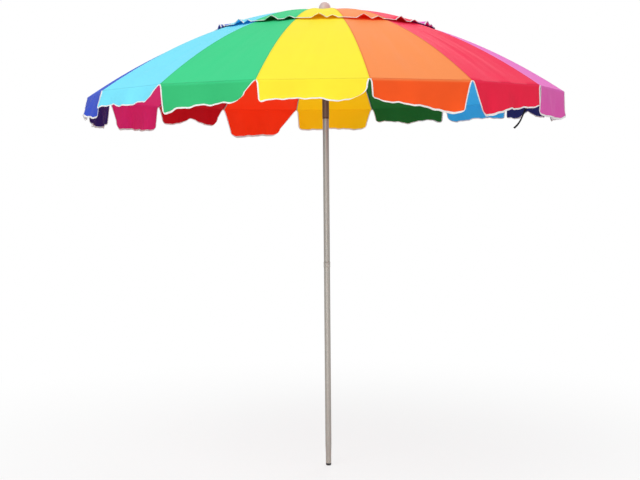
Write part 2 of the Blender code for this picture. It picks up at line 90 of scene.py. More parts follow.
class Signal:
    """A socket that is added, subtracted and multiplied like a number."""

    def __init__(self, graph: "Graph", socket: bpy.types.NodeSocket) -> None:
        """Wraps one output socket of a graph."""
        self.graph = graph
        self.socket = socket

    def __add__(self, other: "Signal | float") -> "Signal":
        """The sum."""
        return self.graph.maths("ADD", self, other)

    def __radd__(self, other: float) -> "Signal":
        """The sum, with a number first."""
        return self.graph.maths("ADD", other, self)

    def __sub__(self, other: "Signal | float") -> "Signal":
        """The difference."""
        return self.graph.maths("SUBTRACT", self, other)

    def __rsub__(self, other: float) -> "Signal":
        """The difference, with a number first."""
        return self.graph.maths("SUBTRACT", other, self)

    def __mul__(self, other: "Signal | float") -> "Signal":
        """The product."""
        return self.graph.maths("MULTIPLY", self, other)

    def __rmul__(self, other: float) -> "Signal":
        """The product, with a number first."""
        return self.graph.maths("MULTIPLY", other, self)


class Graph:
    """A material's nodes, made one call at a time."""

    def __init__(self, name: str) -> None:
        """Makes a material that holds only its output and a Principled shader.

        Args:
            name: the material's name.
        """
        self.material = bpy.data.materials.new(name)
        self.material.use_nodes = True
        self.tree = self.material.node_tree
        self.shader = self.tree.nodes["Principled BSDF"]

    def node(self, kind: str, settings: dict | None = None, inputs: dict | None = None) -> bpy.types.Node:
        """Adds a node.

        Args:
            kind: the node's type.
            settings: properties, which are set first.
            inputs: values or signals for its sockets, by name or number.

        Returns:
            The new node.
        """
        made = self.tree.nodes.new(kind)
        for name, value in (settings or {}).items():
            setattr(made, name, value)
        for name, value in (inputs or {}).items():
            self.feed(made.inputs[name], value)
        return made

    def feed(self, socket: bpy.types.NodeSocket, value: object) -> None:
        """Links a signal to a socket, or writes a plain value into it."""
        if isinstance(value, Signal):
            self.tree.links.new(value.socket, socket)
        else:
            socket.default_value = value

    def maths(self, operation: str, *values: "Signal | float", clamp: bool = False) -> Signal:
        """Adds a Math node.

        Args:
            operation: the node's operation.
            values: its operands in order.
            clamp: whether the result is kept from 0 to 1.

        Returns:
            The result.
        """
        inputs = dict(enumerate(values))
        made = self.node("ShaderNodeMath", {"operation": operation, "use_clamp": clamp}, inputs)
        return Signal(self, made.outputs[0])

    def ramp(self, value: Signal, low: float, high: float) -> Signal:
        """A smooth step of a signal from 0 at low to 1 at high."""
        made = self.node(
            "ShaderNodeMapRange",
            {"interpolation_type": "SMOOTHSTEP"},
            {"Value": value, "From Min": low, "From Max": high},
        )
        return Signal(self, made.outputs["Result"])

    def mix(self, share: "Signal | float", first: object, second: object) -> Signal:
        """A colour between two colours.

        Args:
            share: 0 for the first colour, 1 for the second.
            first: a colour or a signal.
            second: a colour or a signal.

        Returns:
            The mixed colour.
        """
        made = self.node("ShaderNodeMix", {"data_type": "RGBA"})
        self.feed(made.inputs[0], share)
        self.feed(made.inputs[6], _rgba(first))
        self.feed(made.inputs[7], _rgba(second))
        return Signal(self, made.outputs[2])

    def object_place(self, scale: tuple[float, float, float] = (1, 1, 1)) -> Signal:
        """Object coordinates, stretched."""
        source = self.node("ShaderNodeTexCoord")
        made = self.node("ShaderNodeMapping", inputs={"Vector": Signal(self, source.outputs["Object"])})
        made.inputs["Scale"].default_value = scale
        return Signal(self, made.outputs[0])

    def uv_axes(self) -> tuple[Signal, Signal]:
        """Distance across the cloth and along it, in metres, from the piece's own map."""
        source = self.node("ShaderNodeUVMap", {"uv_map": "cloth"})
        made = self.node("ShaderNodeSeparateXYZ", inputs={0: Signal(self, source.outputs[0])})
        return Signal(self, made.outputs[0]), Signal(self, made.outputs[1])

    def noise(self, place: Signal, scale: float, detail: float = 3.0, roughness: float = 0.5) -> Signal:
        """Cloudy noise from 0 to 1."""
        made = self.node(
            "ShaderNodeTexNoise",
            inputs={"Vector": place, "Scale": scale, "Detail": detail, "Roughness": roughness},
        )
        return Signal(self, made.outputs[0])

    def bump(self, height: Signal, distance: float, strength: float = 1.0) -> Signal:
        """A normal from a height."""
        made = self.node(
            "ShaderNodeBump", inputs={"Height": height, "Distance": distance, "Strength": strength}
        )
        return Signal(self, made.outputs[0])

    def set(self, **values: object) -> bpy.types.Material:
        """Feeds the shader's sockets, named with underscores for spaces, and returns the material."""
        for name, value in values.items():
            self.feed(self.shader.inputs[name.replace("_", " ")], value)
        return self.material


def _rgba(colour: object) -> object:
    """A colour with its alpha, or a signal as it is."""
    return colour if isinstance(colour, Signal) else (*colour, 1.0)


def tinted(colour: Colour, factor: float) -> Colour:
    """A colour made lighter or darker."""
    return tuple(min(1.0, part * factor) for part in colour)


# ---- finishes ---------------------------------------------------------------------------------


@dataclass(frozen=True)
class DyeAndShade:
    """One gore colour: its dyed panel in the sun, its upright flap in painted shade, and its inner face
    painted with shade and with light shining through the cloth.
    """

    name: str
    outer: Colour
    flap: Colour
    inner: Colour


# The flap and inner colours are painted: shade on the upright flap, and shade and light shining through on
# the inner face.
DYES_AND_SHADES = (
    DyeAndShade("yellow", (0.98, 0.82, 0.045), (0.97, 0.78, 0.035), (1.0, 0.54, 0.002)),
    DyeAndShade("orange", (1.0, 0.29, 0.085), (0.92, 0.095, 0.012), (1.0, 0.035, 0.004)),
    DyeAndShade("red", (0.96, 0.026, 0.090), (0.88, 0.016, 0.060), (0.50, 0.002, 0.008)),
    DyeAndShade("pink", (0.84, 0.15, 0.58), (0.78, 0.12, 0.46), (0.72, 0.020, 0.16)),
    DyeAndShade("purple", (0.050, 0.018, 0.18), (0.045, 0.015, 0.16), (0.026, 0.008, 0.11)),
    DyeAndShade("blue", (0.045, 0.10, 0.62), (0.040, 0.085, 0.56), (0.014, 0.018, 0.12)),
    DyeAndShade("cyan", (0.20, 0.76, 0.96), (0.19, 0.74, 0.93), (0.040, 0.40, 0.80)),
    DyeAndShade("green", (0.048, 0.62, 0.25), (0.035, 0.48, 0.17), (0.010, 0.12, 0.020)),
)


@dataclass(frozen=True)
class ClothFinish:
    """Plain-woven polyester with felled seams along the ribs and a turned seam round the rim."""

    name: str
    colour: Colour
    # Painted shade: a darker copy of the gore colour for the upright flap.
    flap: Colour
    thread_pitch: float = 0.0011
    seam_width: float = 0.0045
    stitch_pitch: float = 0.0046
    rim_line: float = 1.232
    # Painted light: a glow in the cloth's own colour, as if lit through.
    painted_glow: float = 0.0

    def material(self) -> bpy.types.Material:
        """Builds the weave, the doubled cloth of the seam and its two rows of stitches."""
        graph = Graph(self.name)
        across, along = graph.uv_axes()
        place = graph.object_place()
        turns = 2 * math.pi / self.thread_pitch
        weave = graph.maths("SINE", across * turns) * graph.maths("SINE", along * turns)
        distance = graph.maths("ABSOLUTE", across)
        from_rim = graph.maths("ABSOLUTE", along - (self.rim_line - 0.003))
        rim = 1.0 - graph.ramp(from_rim, 0.0030, 0.0042)
        felled = 1.0 - graph.ramp(distance, self.seam_width, self.seam_width + 0.0012)
        seam = graph.maths("MAXIMUM", felled, rim)
        from_row = graph.maths("ABSOLUTE", distance - 0.0030)
        row = 1.0 - graph.ramp(from_row, 0.0003, 0.0006)
        dash = graph.ramp(graph.maths("SINE", along * (2 * math.pi / self.stitch_pitch)), -0.55, -0.2)
        stitch = row * dash
        cloud = graph.noise(place, 7.0, 4.0)
        fade = graph.noise(place, 1.7, 2.0)
        crease = graph.noise(graph.object_place((1.0, 1.0, 2.4)), 9.0, 5.0, 0.55)
        panel = graph.mix(cloud * 0.5 + fade * 0.5, tinted(self.colour, 0.91), tinted(self.colour, 1.07))
        # Painted shade: below the rim line the panel colour gives way to the flap's darker, shaded colour.
        upright = graph.mix(cloud, tinted(self.flap, 0.90), tinted(self.flap, 1.08))
        below = graph.ramp(along, self.rim_line - 0.006, self.rim_line + 0.012)
        body = graph.mix(below, panel, upright)
        seamed = graph.mix(seam * 0.45, body, tinted(self.flap, 0.74))
        colour = graph.mix(stitch * 0.75, seamed, tinted(self.colour, 1.25))
        fine = graph.bump(weave * (1.0 - seam * 0.5), 0.00006, 0.5)
        raised = graph.node(
            "ShaderNodeBump",
            inputs={
                "Height": crease * 1.0 + seam * 0.22 + stitch * 0.12,
                "Distance": 0.0022,
                "Strength": 0.55,
                "Normal": fine,
            },
        )
        roughness = 0.62 + cloud * 0.16 + seam * 0.05
        graph.shader.inputs["Specular IOR Level"].default_value = 0.15
        # Painted light: the cloth glows with its own colour, standing in for light shining through it.
        if self.painted_glow:
            graph.shader.inputs["Emission Strength"].default_value = self.painted_glow
            graph.feed(graph.shader.inputs["Emission Color"], colour)
        return graph.set(Base_Color=colour, Roughness=roughness, Normal=Signal(graph, raised.outputs[0]))


@dataclass(frozen=True)
class TapeFinish:
    """White grosgrain tape folded over the free edges."""

    name: str = "edge_tape"
    colour: Colour = (0.86, 0.85, 0.84)
    rib_pitch: float = 0.0011

    def material(self) -> bpy.types.Material:
        """Builds the tape's cross ribs and slight greying."""
        graph = Graph(self.name)
        across, along = graph.uv_axes()
        ribs = graph.maths("SINE", (across + along) * (2 * math.pi / self.rib_pitch))
        grime = graph.noise(graph.object_place(), 26.0, 4.0, 0.6)
        colour = graph.mix(graph.ramp(grime, 0.45, 0.8), self.colour, tinted(self.colour, 0.82))
        height = ribs * 0.5 + grime * 0.6
        return graph.set(
            Base_Color=colour, Roughness=0.72 + grime * 0.15, Normal=graph.bump(height, 0.00018, 0.7)
        )


@dataclass(frozen=True)
class SteelFinish:
    """Drawn steel tube or wire: fine lengthwise lines, dull patches and handling marks."""

    name: str
    colour: Colour
    roughness: float = 0.40
    metallic: float = 0.85
    stain: Colour = (0.22, 0.19, 0.16)

    def material(self) -> bpy.types.Material:
        """Builds the drawing lines, the dull patches and small scratches."""
        graph = Graph(self.name)
        lines = graph.noise(graph.object_place((1.0, 1.0, 0.012)), 900.0, 3.0, 0.6)
        patch = graph.noise(graph.object_place((1.0, 1.0, 0.35)), 17.0, 5.0, 0.6)
        scratch = graph.ramp(graph.noise(graph.object_place((1.0, 1.0, 4.0)), 130.0, 2.0, 0.4), 0.66, 0.70)
        worn = graph.mix(lines * 0.5 + patch * 0.5, tinted(self.colour, 0.78), tinted(self.colour, 1.16))
        stained = graph.mix(graph.ramp(patch, 0.58, 0.74) * 0.45, worn, self.stain)
        colour = graph.mix(scratch * 0.35, stained, tinted(self.colour, 1.22))
        roughness = self.roughness - 0.10 + lines * 0.12 + patch * 0.16 - scratch * 0.08
        height = lines * 0.35 + patch * 0.25 - scratch * 0.2
        return graph.set(
            Base_Color=colour,
            Roughness=roughness,
            Metallic=self.metallic,
            Normal=graph.bump(height, 0.00012, 0.5),
        )


@dataclass(frozen=True)
class PlasticFinish:
    """Moulded plastic with a fine spark-eroded grain and rubbed high spots."""

    name: str
    colour: Colour
    roughness: float = 0.45

    def material(self) -> bpy.types.Material:
        """Builds the grain, flow marks and scuffs."""
        graph = Graph(self.name)
        grain = graph.noise(graph.object_place(), 1500.0, 2.0)
        flow = graph.noise(graph.object_place((1.0, 1.0, 0.4)), 45.0, 4.0, 0.55)
        scuff = graph.ramp(graph.noise(graph.object_place((3.0, 1.0, 1.0)), 160.0, 3.0), 0.62, 0.72)
        colour = graph.mix(flow, tinted(self.colour, 0.86), tinted(self.colour, 1.12))
        colour = graph.mix(scuff * 0.35, colour, tinted(self.colour, 1.5))
        roughness = self.roughness - 0.06 + flow * 0.14 + scuff * 0.12
        height = grain * 0.4 + flow * 0.3 - scuff * 0.3
        return graph.set(Base_Color=colour, Roughness=roughness, Normal=graph.bump(height, 0.0001, 0.5))


@dataclass(frozen=True)
class WebbingFinish:
    """Black woven webbing with a herringbone face."""

    name: str = "strap_webbing"
    colour: Colour = (0.010, 0.010, 0.012)
    pitch: float = 0.0016

    def material(self) -> bpy.types.Material:
        """Builds the herringbone and a little lint."""
        graph = Graph(self.name)
        across, along = graph.uv_axes()
        slant = graph.maths("ABSOLUTE", across) + along
        rows = graph.maths("SINE", slant * (2 * math.pi / self.pitch))
        lint = graph.noise(graph.object_place(), 220.0, 4.0, 0.6)
        colour = graph.mix(graph.ramp(lint, 0.55, 0.8), self.colour, tinted(self.colour, 4.0))
        return graph.set(
            Base_Color=colour, Roughness=0.72 + lint * 0.2, Normal=graph.bump(rows, 0.00035, 0.8)
        )


class Finishes:
    """Every material of the umbrella, each made once."""

    def __init__(self) -> None:
        """Builds the cloths, tape, metals and plastics."""
        self.outer = [ClothFinish(f"cloth_{dye_and_shade.name}", dye_and_shade.outer, dye_and_shade.flap).material() for dye_and_shade in DYES_AND_SHADES]
        # Inner faces: painted shade and painted light shining through the cloth, with a painted glow.
        self.inner = [
            ClothFinish(f"cloth_{dye_and_shade.name}_inside", dye_and_shade.inner, dye_and_shade.inner, painted_glow=0.20).material()
            for dye_and_shade in DYES_AND_SHADES
        ]
        self.tape = TapeFinish().material()
        self.pole = SteelFinish("pole_steel", (0.46, 0.43, 0.39)).material()
        # Painted shade and painted reflection: the sleeve's dark reddish brown stands for shade under the
        # canopy and the red cloth mirrored in it.
        self.sleeve = SteelFinish("sleeve_steel", (0.17, 0.095, 0.065), 0.40, 0.6).material()
        self.bright = SteelFinish("spring_steel", (0.48, 0.48, 0.47), 0.30, 1.0).material()
        self.wire = SteelFinish("stretcher_steel", (0.30, 0.30, 0.30), 0.45).material()
        self.fibreglass = PlasticFinish("rib_fibreglass", (0.36, 0.36, 0.34), 0.38).material()
        self.hub = PlasticFinish("hub_plastic", (0.045, 0.045, 0.05)).material()
        self.knob = PlasticFinish("finial_plastic", (0.66, 0.48, 0.46), 0.38).material()
        self.plug = PlasticFinish("plug_plastic", (0.030, 0.030, 0.032), 0.55).material()
        self.webbing = WebbingFinish().material()


# ---- the frame --------------------------------------------------------------------------------


@dataclass
class Skeleton:
    """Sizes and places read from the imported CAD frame."""

    joints: dict[str, dict]
    rib_angles: list[float]

    @classmethod
    def read(cls, frame: dict) -> "Skeleton":
        """Reads the joints, and the direction of every rib.


        Returns:
            The skeleton.
        """
        joints = {joint["name"]: joint for joint in frame["record"]["behaviour"]["joints"]}
        angles = []
        for number in range(1, GORES + 1):
            x, y, _ = joints[f"rib_hinge_{number:02d}"]["pos_m"]
            angles.append(math.atan2(y, x))
        return cls(joints, angles)

    @property
    def crown(self) -> Vector:
        """The first rib's pivot in its own plane: its distance from the pole's axis, and its height."""
        x, y, z = self.joints["rib_hinge_01"]["pos_m"]
        return Vector((math.hypot(x, y), 0, z))

    @property
    def runner_height(self) -> float:
        """Height of the ring wire that the stretchers turn on."""
        return self.joints["stretcher_hinge_01"]["pos_m"][2]

    def span(self, node: str) -> tuple[float, float]:
        """Lowest and highest Z of a CAD node."""
        low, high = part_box(node)
        return low[2], high[2]


# ---- workshop ---------------------------------------------------------------------------------


class Workshop:
    """Modelling steps that several pieces share."""

    @staticmethod
    def deselect() -> None:
        """Clears the selection, so that an operator touches only what is meant."""
        for obj in bpy.context.scene.objects:
            obj.select_set(False)

    @classmethod
    def only(cls, *objects: bpy.types.Object) -> None:
        """Selects these objects alone, and makes the first one active."""
        cls.deselect()
        for obj in objects:
            obj.select_set(True)
        bpy.context.view_layer.objects.active = objects[0]

    @classmethod
    def apply(cls, obj: bpy.types.Object, kind: str, **settings: object) -> None:
        """Adds a modifier and applies it.

        Args:
            obj: the mesh.
            kind: the modifier's type.
            settings: the modifier's properties.
        """
        cls.only(obj)
        modifier = obj.modifiers.new(kind.lower(), kind)
        for name, value in settings.items():
            setattr(modifier, name, value)
        bpy.ops.object.modifier_apply(modifier=modifier.name)

    @classmethod
    def join(cls, name: str, objects: Sequence[bpy.types.Object], merge: float = 0.00002) -> bpy.types.Object:
        """Joins meshes into the first, and merges vertices that meet.

        Args:
            name: the joined object's name.
            objects: the meshes.
            merge: the merging distance.

        Returns:
            The joined object.
        """
        cls.only(*objects)
        if len(objects) > 1:
            bpy.ops.object.join()
        obj = bpy.context.view_layer.objects.active
        obj.name = name
        bpy.ops.object.mode_set(mode="EDIT")
        bpy.ops.mesh.select_all(action="SELECT")
        bpy.ops.mesh.remove_doubles(threshold=merge)
        bpy.ops.object.mode_set(mode="OBJECT")
        return obj

    @classmethod
    def fuse(cls, obj: bpy.types.Object, others: Sequence[bpy.types.Object], cut: bool = False) -> None:
        """Unites other meshes with this one, or cuts them from it, and removes them."""
        for other in others:
            operation = "DIFFERENCE" if cut else "UNION"
            cls.apply(obj, "BOOLEAN", operation=operation, solver="EXACT", object=other)
            bpy.data.objects.remove(other, do_unlink=True)

    @classmethod
    def bevel(cls, obj: bpy.types.Object, width: float, segments: int = 2, angle: float = 35) -> None:
        """Rounds the edges that are sharper than the angle, in degrees."""
        cls.apply(
            obj,
            "BEVEL",
            width=width,
            segments=segments,
            limit_method="ANGLE",
            angle_limit=math.radians(angle),
        )

    @classmethod
    def smooth(cls, obj: bpy.types.Object, angle: float = 40) -> None:
        """Shades a mesh smooth, with the edges over the angle kept sharp."""
        cls.only(obj)
        bpy.ops.object.shade_smooth_by_angle(angle=math.radians(angle))

    @classmethod
    def settle(cls, obj: bpy.types.Object) -> None:
        """Moves an object's place, turn and scale into its mesh."""
        cls.only(obj)
        bpy.ops.object.transform_apply(location=True, rotation=True, scale=True)

    @classmethod
    def turned(
        cls, name: str, profile: Sequence[Point], sides: int = 64, closed: bool = True
    ) -> bpy.types.Object:
        """Turns a profile about the Z axis.

        Args:
            name: the object's name.
            profile: radius and height, down the outer side first.
            sides: how many sides the round has.
            closed: whether the profile is a ring, or starts and ends on the axis.

        Returns:
            The turned object.
        """
        bpy.ops.mesh.primitive_circle_add(vertices=len(profile), radius=1.0)
        obj = bpy.context.object
        obj.name = name
        for vertex, (radius, height) in zip(obj.data.vertices, profile):
            vertex.co = (radius, 0, height)
        if not closed:
            last = {len(profile) - 1, 0}
            bpy.ops.object.mode_set(mode="EDIT")
            bpy.ops.mesh.select_all(action="DESELECT")
            bpy.ops.object.mode_set(mode="OBJECT")
            for edge in obj.data.edges:
                edge.select = set(edge.vertices) == last
            bpy.ops.object.mode_set(mode="EDIT")
            bpy.ops.mesh.select_mode(type="EDGE")
            bpy.ops.mesh.delete(type="EDGE")
            bpy.ops.mesh.select_mode(type="VERT")
            bpy.ops.object.mode_set(mode="OBJECT")
        cls.apply(
            obj,
            "SCREW",
            steps=sides,
            render_steps=sides,
            use_merge_vertices=True,
            merge_threshold=0.00001,
        )
        bpy.ops.object.mode_set(mode="EDIT")
        bpy.ops.mesh.select_all(action="SELECT")
        bpy.ops.mesh.remove_doubles(threshold=0.000005)
        bpy.ops.mesh.normals_make_consistent(inside=False)
        bpy.ops.object.mode_set(mode="OBJECT")
        return obj

    @classmethod
    def block(cls, size: Sequence[float], centre: Sequence[float], tilt: float = 0.0) -> bpy.types.Object:
        """A box of that size, tilted about Y, with its place in its mesh."""
        bpy.ops.mesh.primitive_cube_add(size=1.0, location=centre, rotation=(0, tilt, 0))
        obj = bpy.context.object
        obj.scale = size
        cls.settle(obj)
        return obj

    @classmethod
    def peg(
        cls, radius: float, length: float, centre: Sequence[float], axis: str = "Y", sides: int = 24
    ) -> bpy.types.Object:
        """A cylinder along an axis, with its place in its mesh."""
        turn = {"X": (0, math.pi / 2, 0), "Y": (math.pi / 2, 0, 0), "Z": (0, 0, 0)}[axis]
        bpy.ops.mesh.primitive_cylinder_add(
            vertices=sides, radius=radius, depth=length, location=centre, rotation=turn
        )
        obj = bpy.context.object
        cls.settle(obj)
        return obj

    @classmethod
    def rod(cls, name: str, points: Sequence[Vector], radius: float, sides: int = 12) -> bpy.types.Object:
        """A round rod along smooth points, with filled ends."""
        bpy.ops.curve.primitive_nurbs_path_add()
        obj = bpy.context.object
        obj.name = name
        curve = obj.data
        curve.splines.clear()
        spline = curve.splines.new("POLY")
        spline.points.add(len(points) - 1)
        for point, place in zip(spline.points, points):
            point.co = (*place, 1)
        curve.bevel_depth = radius
        curve.bevel_resolution = sides // 2 - 2
        curve.use_fill_caps = True
        cls.settle(obj)
        cls.only(obj)
        bpy.ops.object.convert(target="MESH")
        obj = bpy.context.object
        return cls.join(name, [obj])

    @classmethod
    def patch(
        cls,
        across: Sequence[float],
        along: Sequence[float],
        place: Callable[[float, float], Vector],
        measure: Callable[[float, float], Point],
        facing: Vector,
    ) -> bpy.types.Object:
        """Shapes a grid into a stretch of cloth, with its distances as its map.

        Args:
            across: where the columns lie, from 0 to 1.
            along: where the rows lie, from 0 to 1.
            place: the point for a column and a row.
            measure: the map's metres across and along for a column and a row.
            facing: the way the outer face looks.

        Returns:
            The open sheet.
        """
        columns, rows = len(across) - 1, len(along) - 1
        bpy.ops.mesh.primitive_grid_add(x_subdivisions=columns, y_subdivisions=rows, size=1.0)
        obj = bpy.context.object
        mesh = obj.data
        spots = []
        for vertex in mesh.vertices:
            a = across[round((vertex.co.x + 0.5) * columns)]
            b = along[round((vertex.co.y + 0.5) * rows)]
            spots.append((a, b))
            vertex.co = place(a, b)
        layer = mesh.uv_layers.active
        layer.name = "cloth"
        for loop in mesh.loops:
            layer.data[loop.index].uv = measure(*spots[loop.vertex_index])
        mesh.update()
        middle = sum((face.normal for face in mesh.polygons), Vector())
        if middle.dot(facing) < 0:
            mesh.flip_normals()
        return obj

    @classmethod
    def thicken(cls, obj: bpy.types.Object, thickness: float, offset: float, inside: int = 0) -> None:
        """Gives a sheet its thickness; inside is how many slots on its inner face's material is."""
        cls.apply(
            obj,
            "SOLIDIFY",
            thickness=thickness,
            offset=offset,
            use_even_offset=True,
            material_offset=inside,
            material_offset_rim=0,
        )

    @staticmethod
    def dress(obj: bpy.types.Object, *materials: bpy.types.Material) -> None:
        """Replaces an object's materials."""
        obj.data.materials.clear()
        for material in materials:
            obj.data.materials.append(material)

    @staticmethod
    def twin(obj: bpy.types.Object, name: str, turn: Matrix) -> bpy.types.Object:
        """A copy with its own mesh, turned into another place."""
        copy = obj.copy()
        copy.data = obj.data.copy()
        copy.name = name
        bpy.context.scene.collection.objects.link(copy)
        copy.data.transform(turn)
        return copy

    @classmethod
    def mount(cls, obj: bpy.types.Object, body: str, slot: str, *nodes: str) -> bpy.types.Object:
        """Rides a finished piece on a body, in place of CAD nodes."""
        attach(obj, body)
        if nodes:
            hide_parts(*nodes)
        LOG.info("%s rides on %s", obj.name, body)
        return obj


def steps(count: int) -> list[float]:
    """Even steps from 0 to 1."""
    return [k / count for k in range(count + 1)]


def turn_about_pole(angle: float) -> Matrix:
    """A turn about the pole's axis."""
    return Matrix.Rotation(angle, 4, "Z")


# ---- cloth ------------------------------------------------------------------------------------


class Drape(Enum):
    """How a flap's free edge hangs: its depth in metres at five even stations, left to right."""

    FULL = (0.106, 0.112, 0.108, 0.112, 0.108)
    ROUNDED = (0.108, 0.128, 0.130, 0.126, 0.106)
    RISES_RIGHT = (0.124, 0.102, 0.090, 0.080, 0.066)
    SHALLOW = (0.088, 0.076, 0.074, 0.081, 0.066)
    DROPS_RIGHT = (0.076, 0.092, 0.106, 0.126, 0.128)
    DROPS_LEFT = (0.126, 0.130, 0.108, 0.098, 0.088)
    WAVY = (0.088, 0.071, 0.086, 0.073, 0.078)
    TWO_LOBES = (0.080, 0.088, 0.058, 0.086, 0.078)
    LONG = (0.112, 0.140, 0.146, 0.148, 0.130)

    def depth(self, share: float) -> float:
        """Depth at a share of the way across, on a smooth curve through the stations."""
        place = min(max(share, 0.0), 1.0) * (len(self.value) - 1)
        first = min(int(place), len(self.value) - 2)
        part = place - first
        part = part * part * (3 - 2 * part)
        return self.value[first] * (1 - part) + self.value[first + 1] * part


class Cut(Enum):
    """A flap's side edge: how far it leans in for each metre down, then its corner's width and height."""

    SQUARE = (0.08, 0.018, 0.020)
    EASED = (0.32, 0.030, 0.028)
    SLANTED = (0.66, 0.056, 0.040)
    SWEPT = (0.88, 0.066, 0.036)
    ROUND = (0.12, 0.125, 0.052)


@dataclass(frozen=True)
class Hang:
    """One gore's flap: its lower edge, its left and right sides, its swing outwards and its ripples."""

    drape: Drape
    left: Cut = Cut.SQUARE
    right: Cut = Cut.EASED
    swing: float = 0.06
    ripple: float = 0.006
    waves: float = 2.0
    phase: float = 0.0


HANGS = (
    Hang(Drape.SHALLOW, Cut.SQUARE, Cut.ROUND, 0.08, 0.005, 2.0, 0.1),
    Hang(Drape.DROPS_RIGHT, Cut.SQUARE, Cut.EASED, 0.08, 0.005, 1.8, 0.5),
    Hang(Drape.DROPS_LEFT, Cut.EASED, Cut.SQUARE, 0.12, 0.006, 2.2, 0.3),
    Hang(Drape.ROUNDED, Cut.SQUARE, Cut.SQUARE, 0.04, 0.009, 1.6, 0.8),
    Hang(Drape.FULL, Cut.SQUARE, Cut.EASED, 0.04, 0.007, 1.6, 0.2),
    Hang(Drape.TWO_LOBES, Cut.EASED, Cut.SQUARE, 0.06, 0.007, 2.4, 0.6),
    Hang(Drape.SHALLOW, Cut.SQUARE, Cut.EASED, 0.05, 0.006, 1.9, 0.4),
    Hang(Drape.WAVY, Cut.SQUARE, Cut.EASED, 0.06, 0.006, 2.1, 0.9),
    Hang(Drape.FULL, Cut.EASED, Cut.SQUARE, 0.05, 0.006, 1.7, 0.15),
    Hang(Drape.LONG, Cut.SWEPT, Cut.EASED, 0.02, 0.007, 2.0, 0.55),
    Hang(Drape.TWO_LOBES, Cut.SLANTED, Cut.EASED, 0.07, 0.008, 2.3, 0.35),
    Hang(Drape.ROUNDED, Cut.EASED, Cut.SLANTED, 0.03, 0.009, 1.8, 0.75),
    Hang(Drape.ROUNDED, Cut.SQUARE, Cut.EASED, 0.08, 0.008, 2.0, 0.05),
    Hang(Drape.FULL, Cut.SQUARE, Cut.EASED, 0.32, 0.012, 1.5, 0.45),
    Hang(Drape.WAVY, Cut.SQUARE, Cut.SLANTED, 0.40, 0.006, 2.1, 0.25),
    Hang(Drape.RISES_RIGHT, Cut.SQUARE, Cut.SWEPT, 0.12, 0.006, 1.9, 0.65),
)


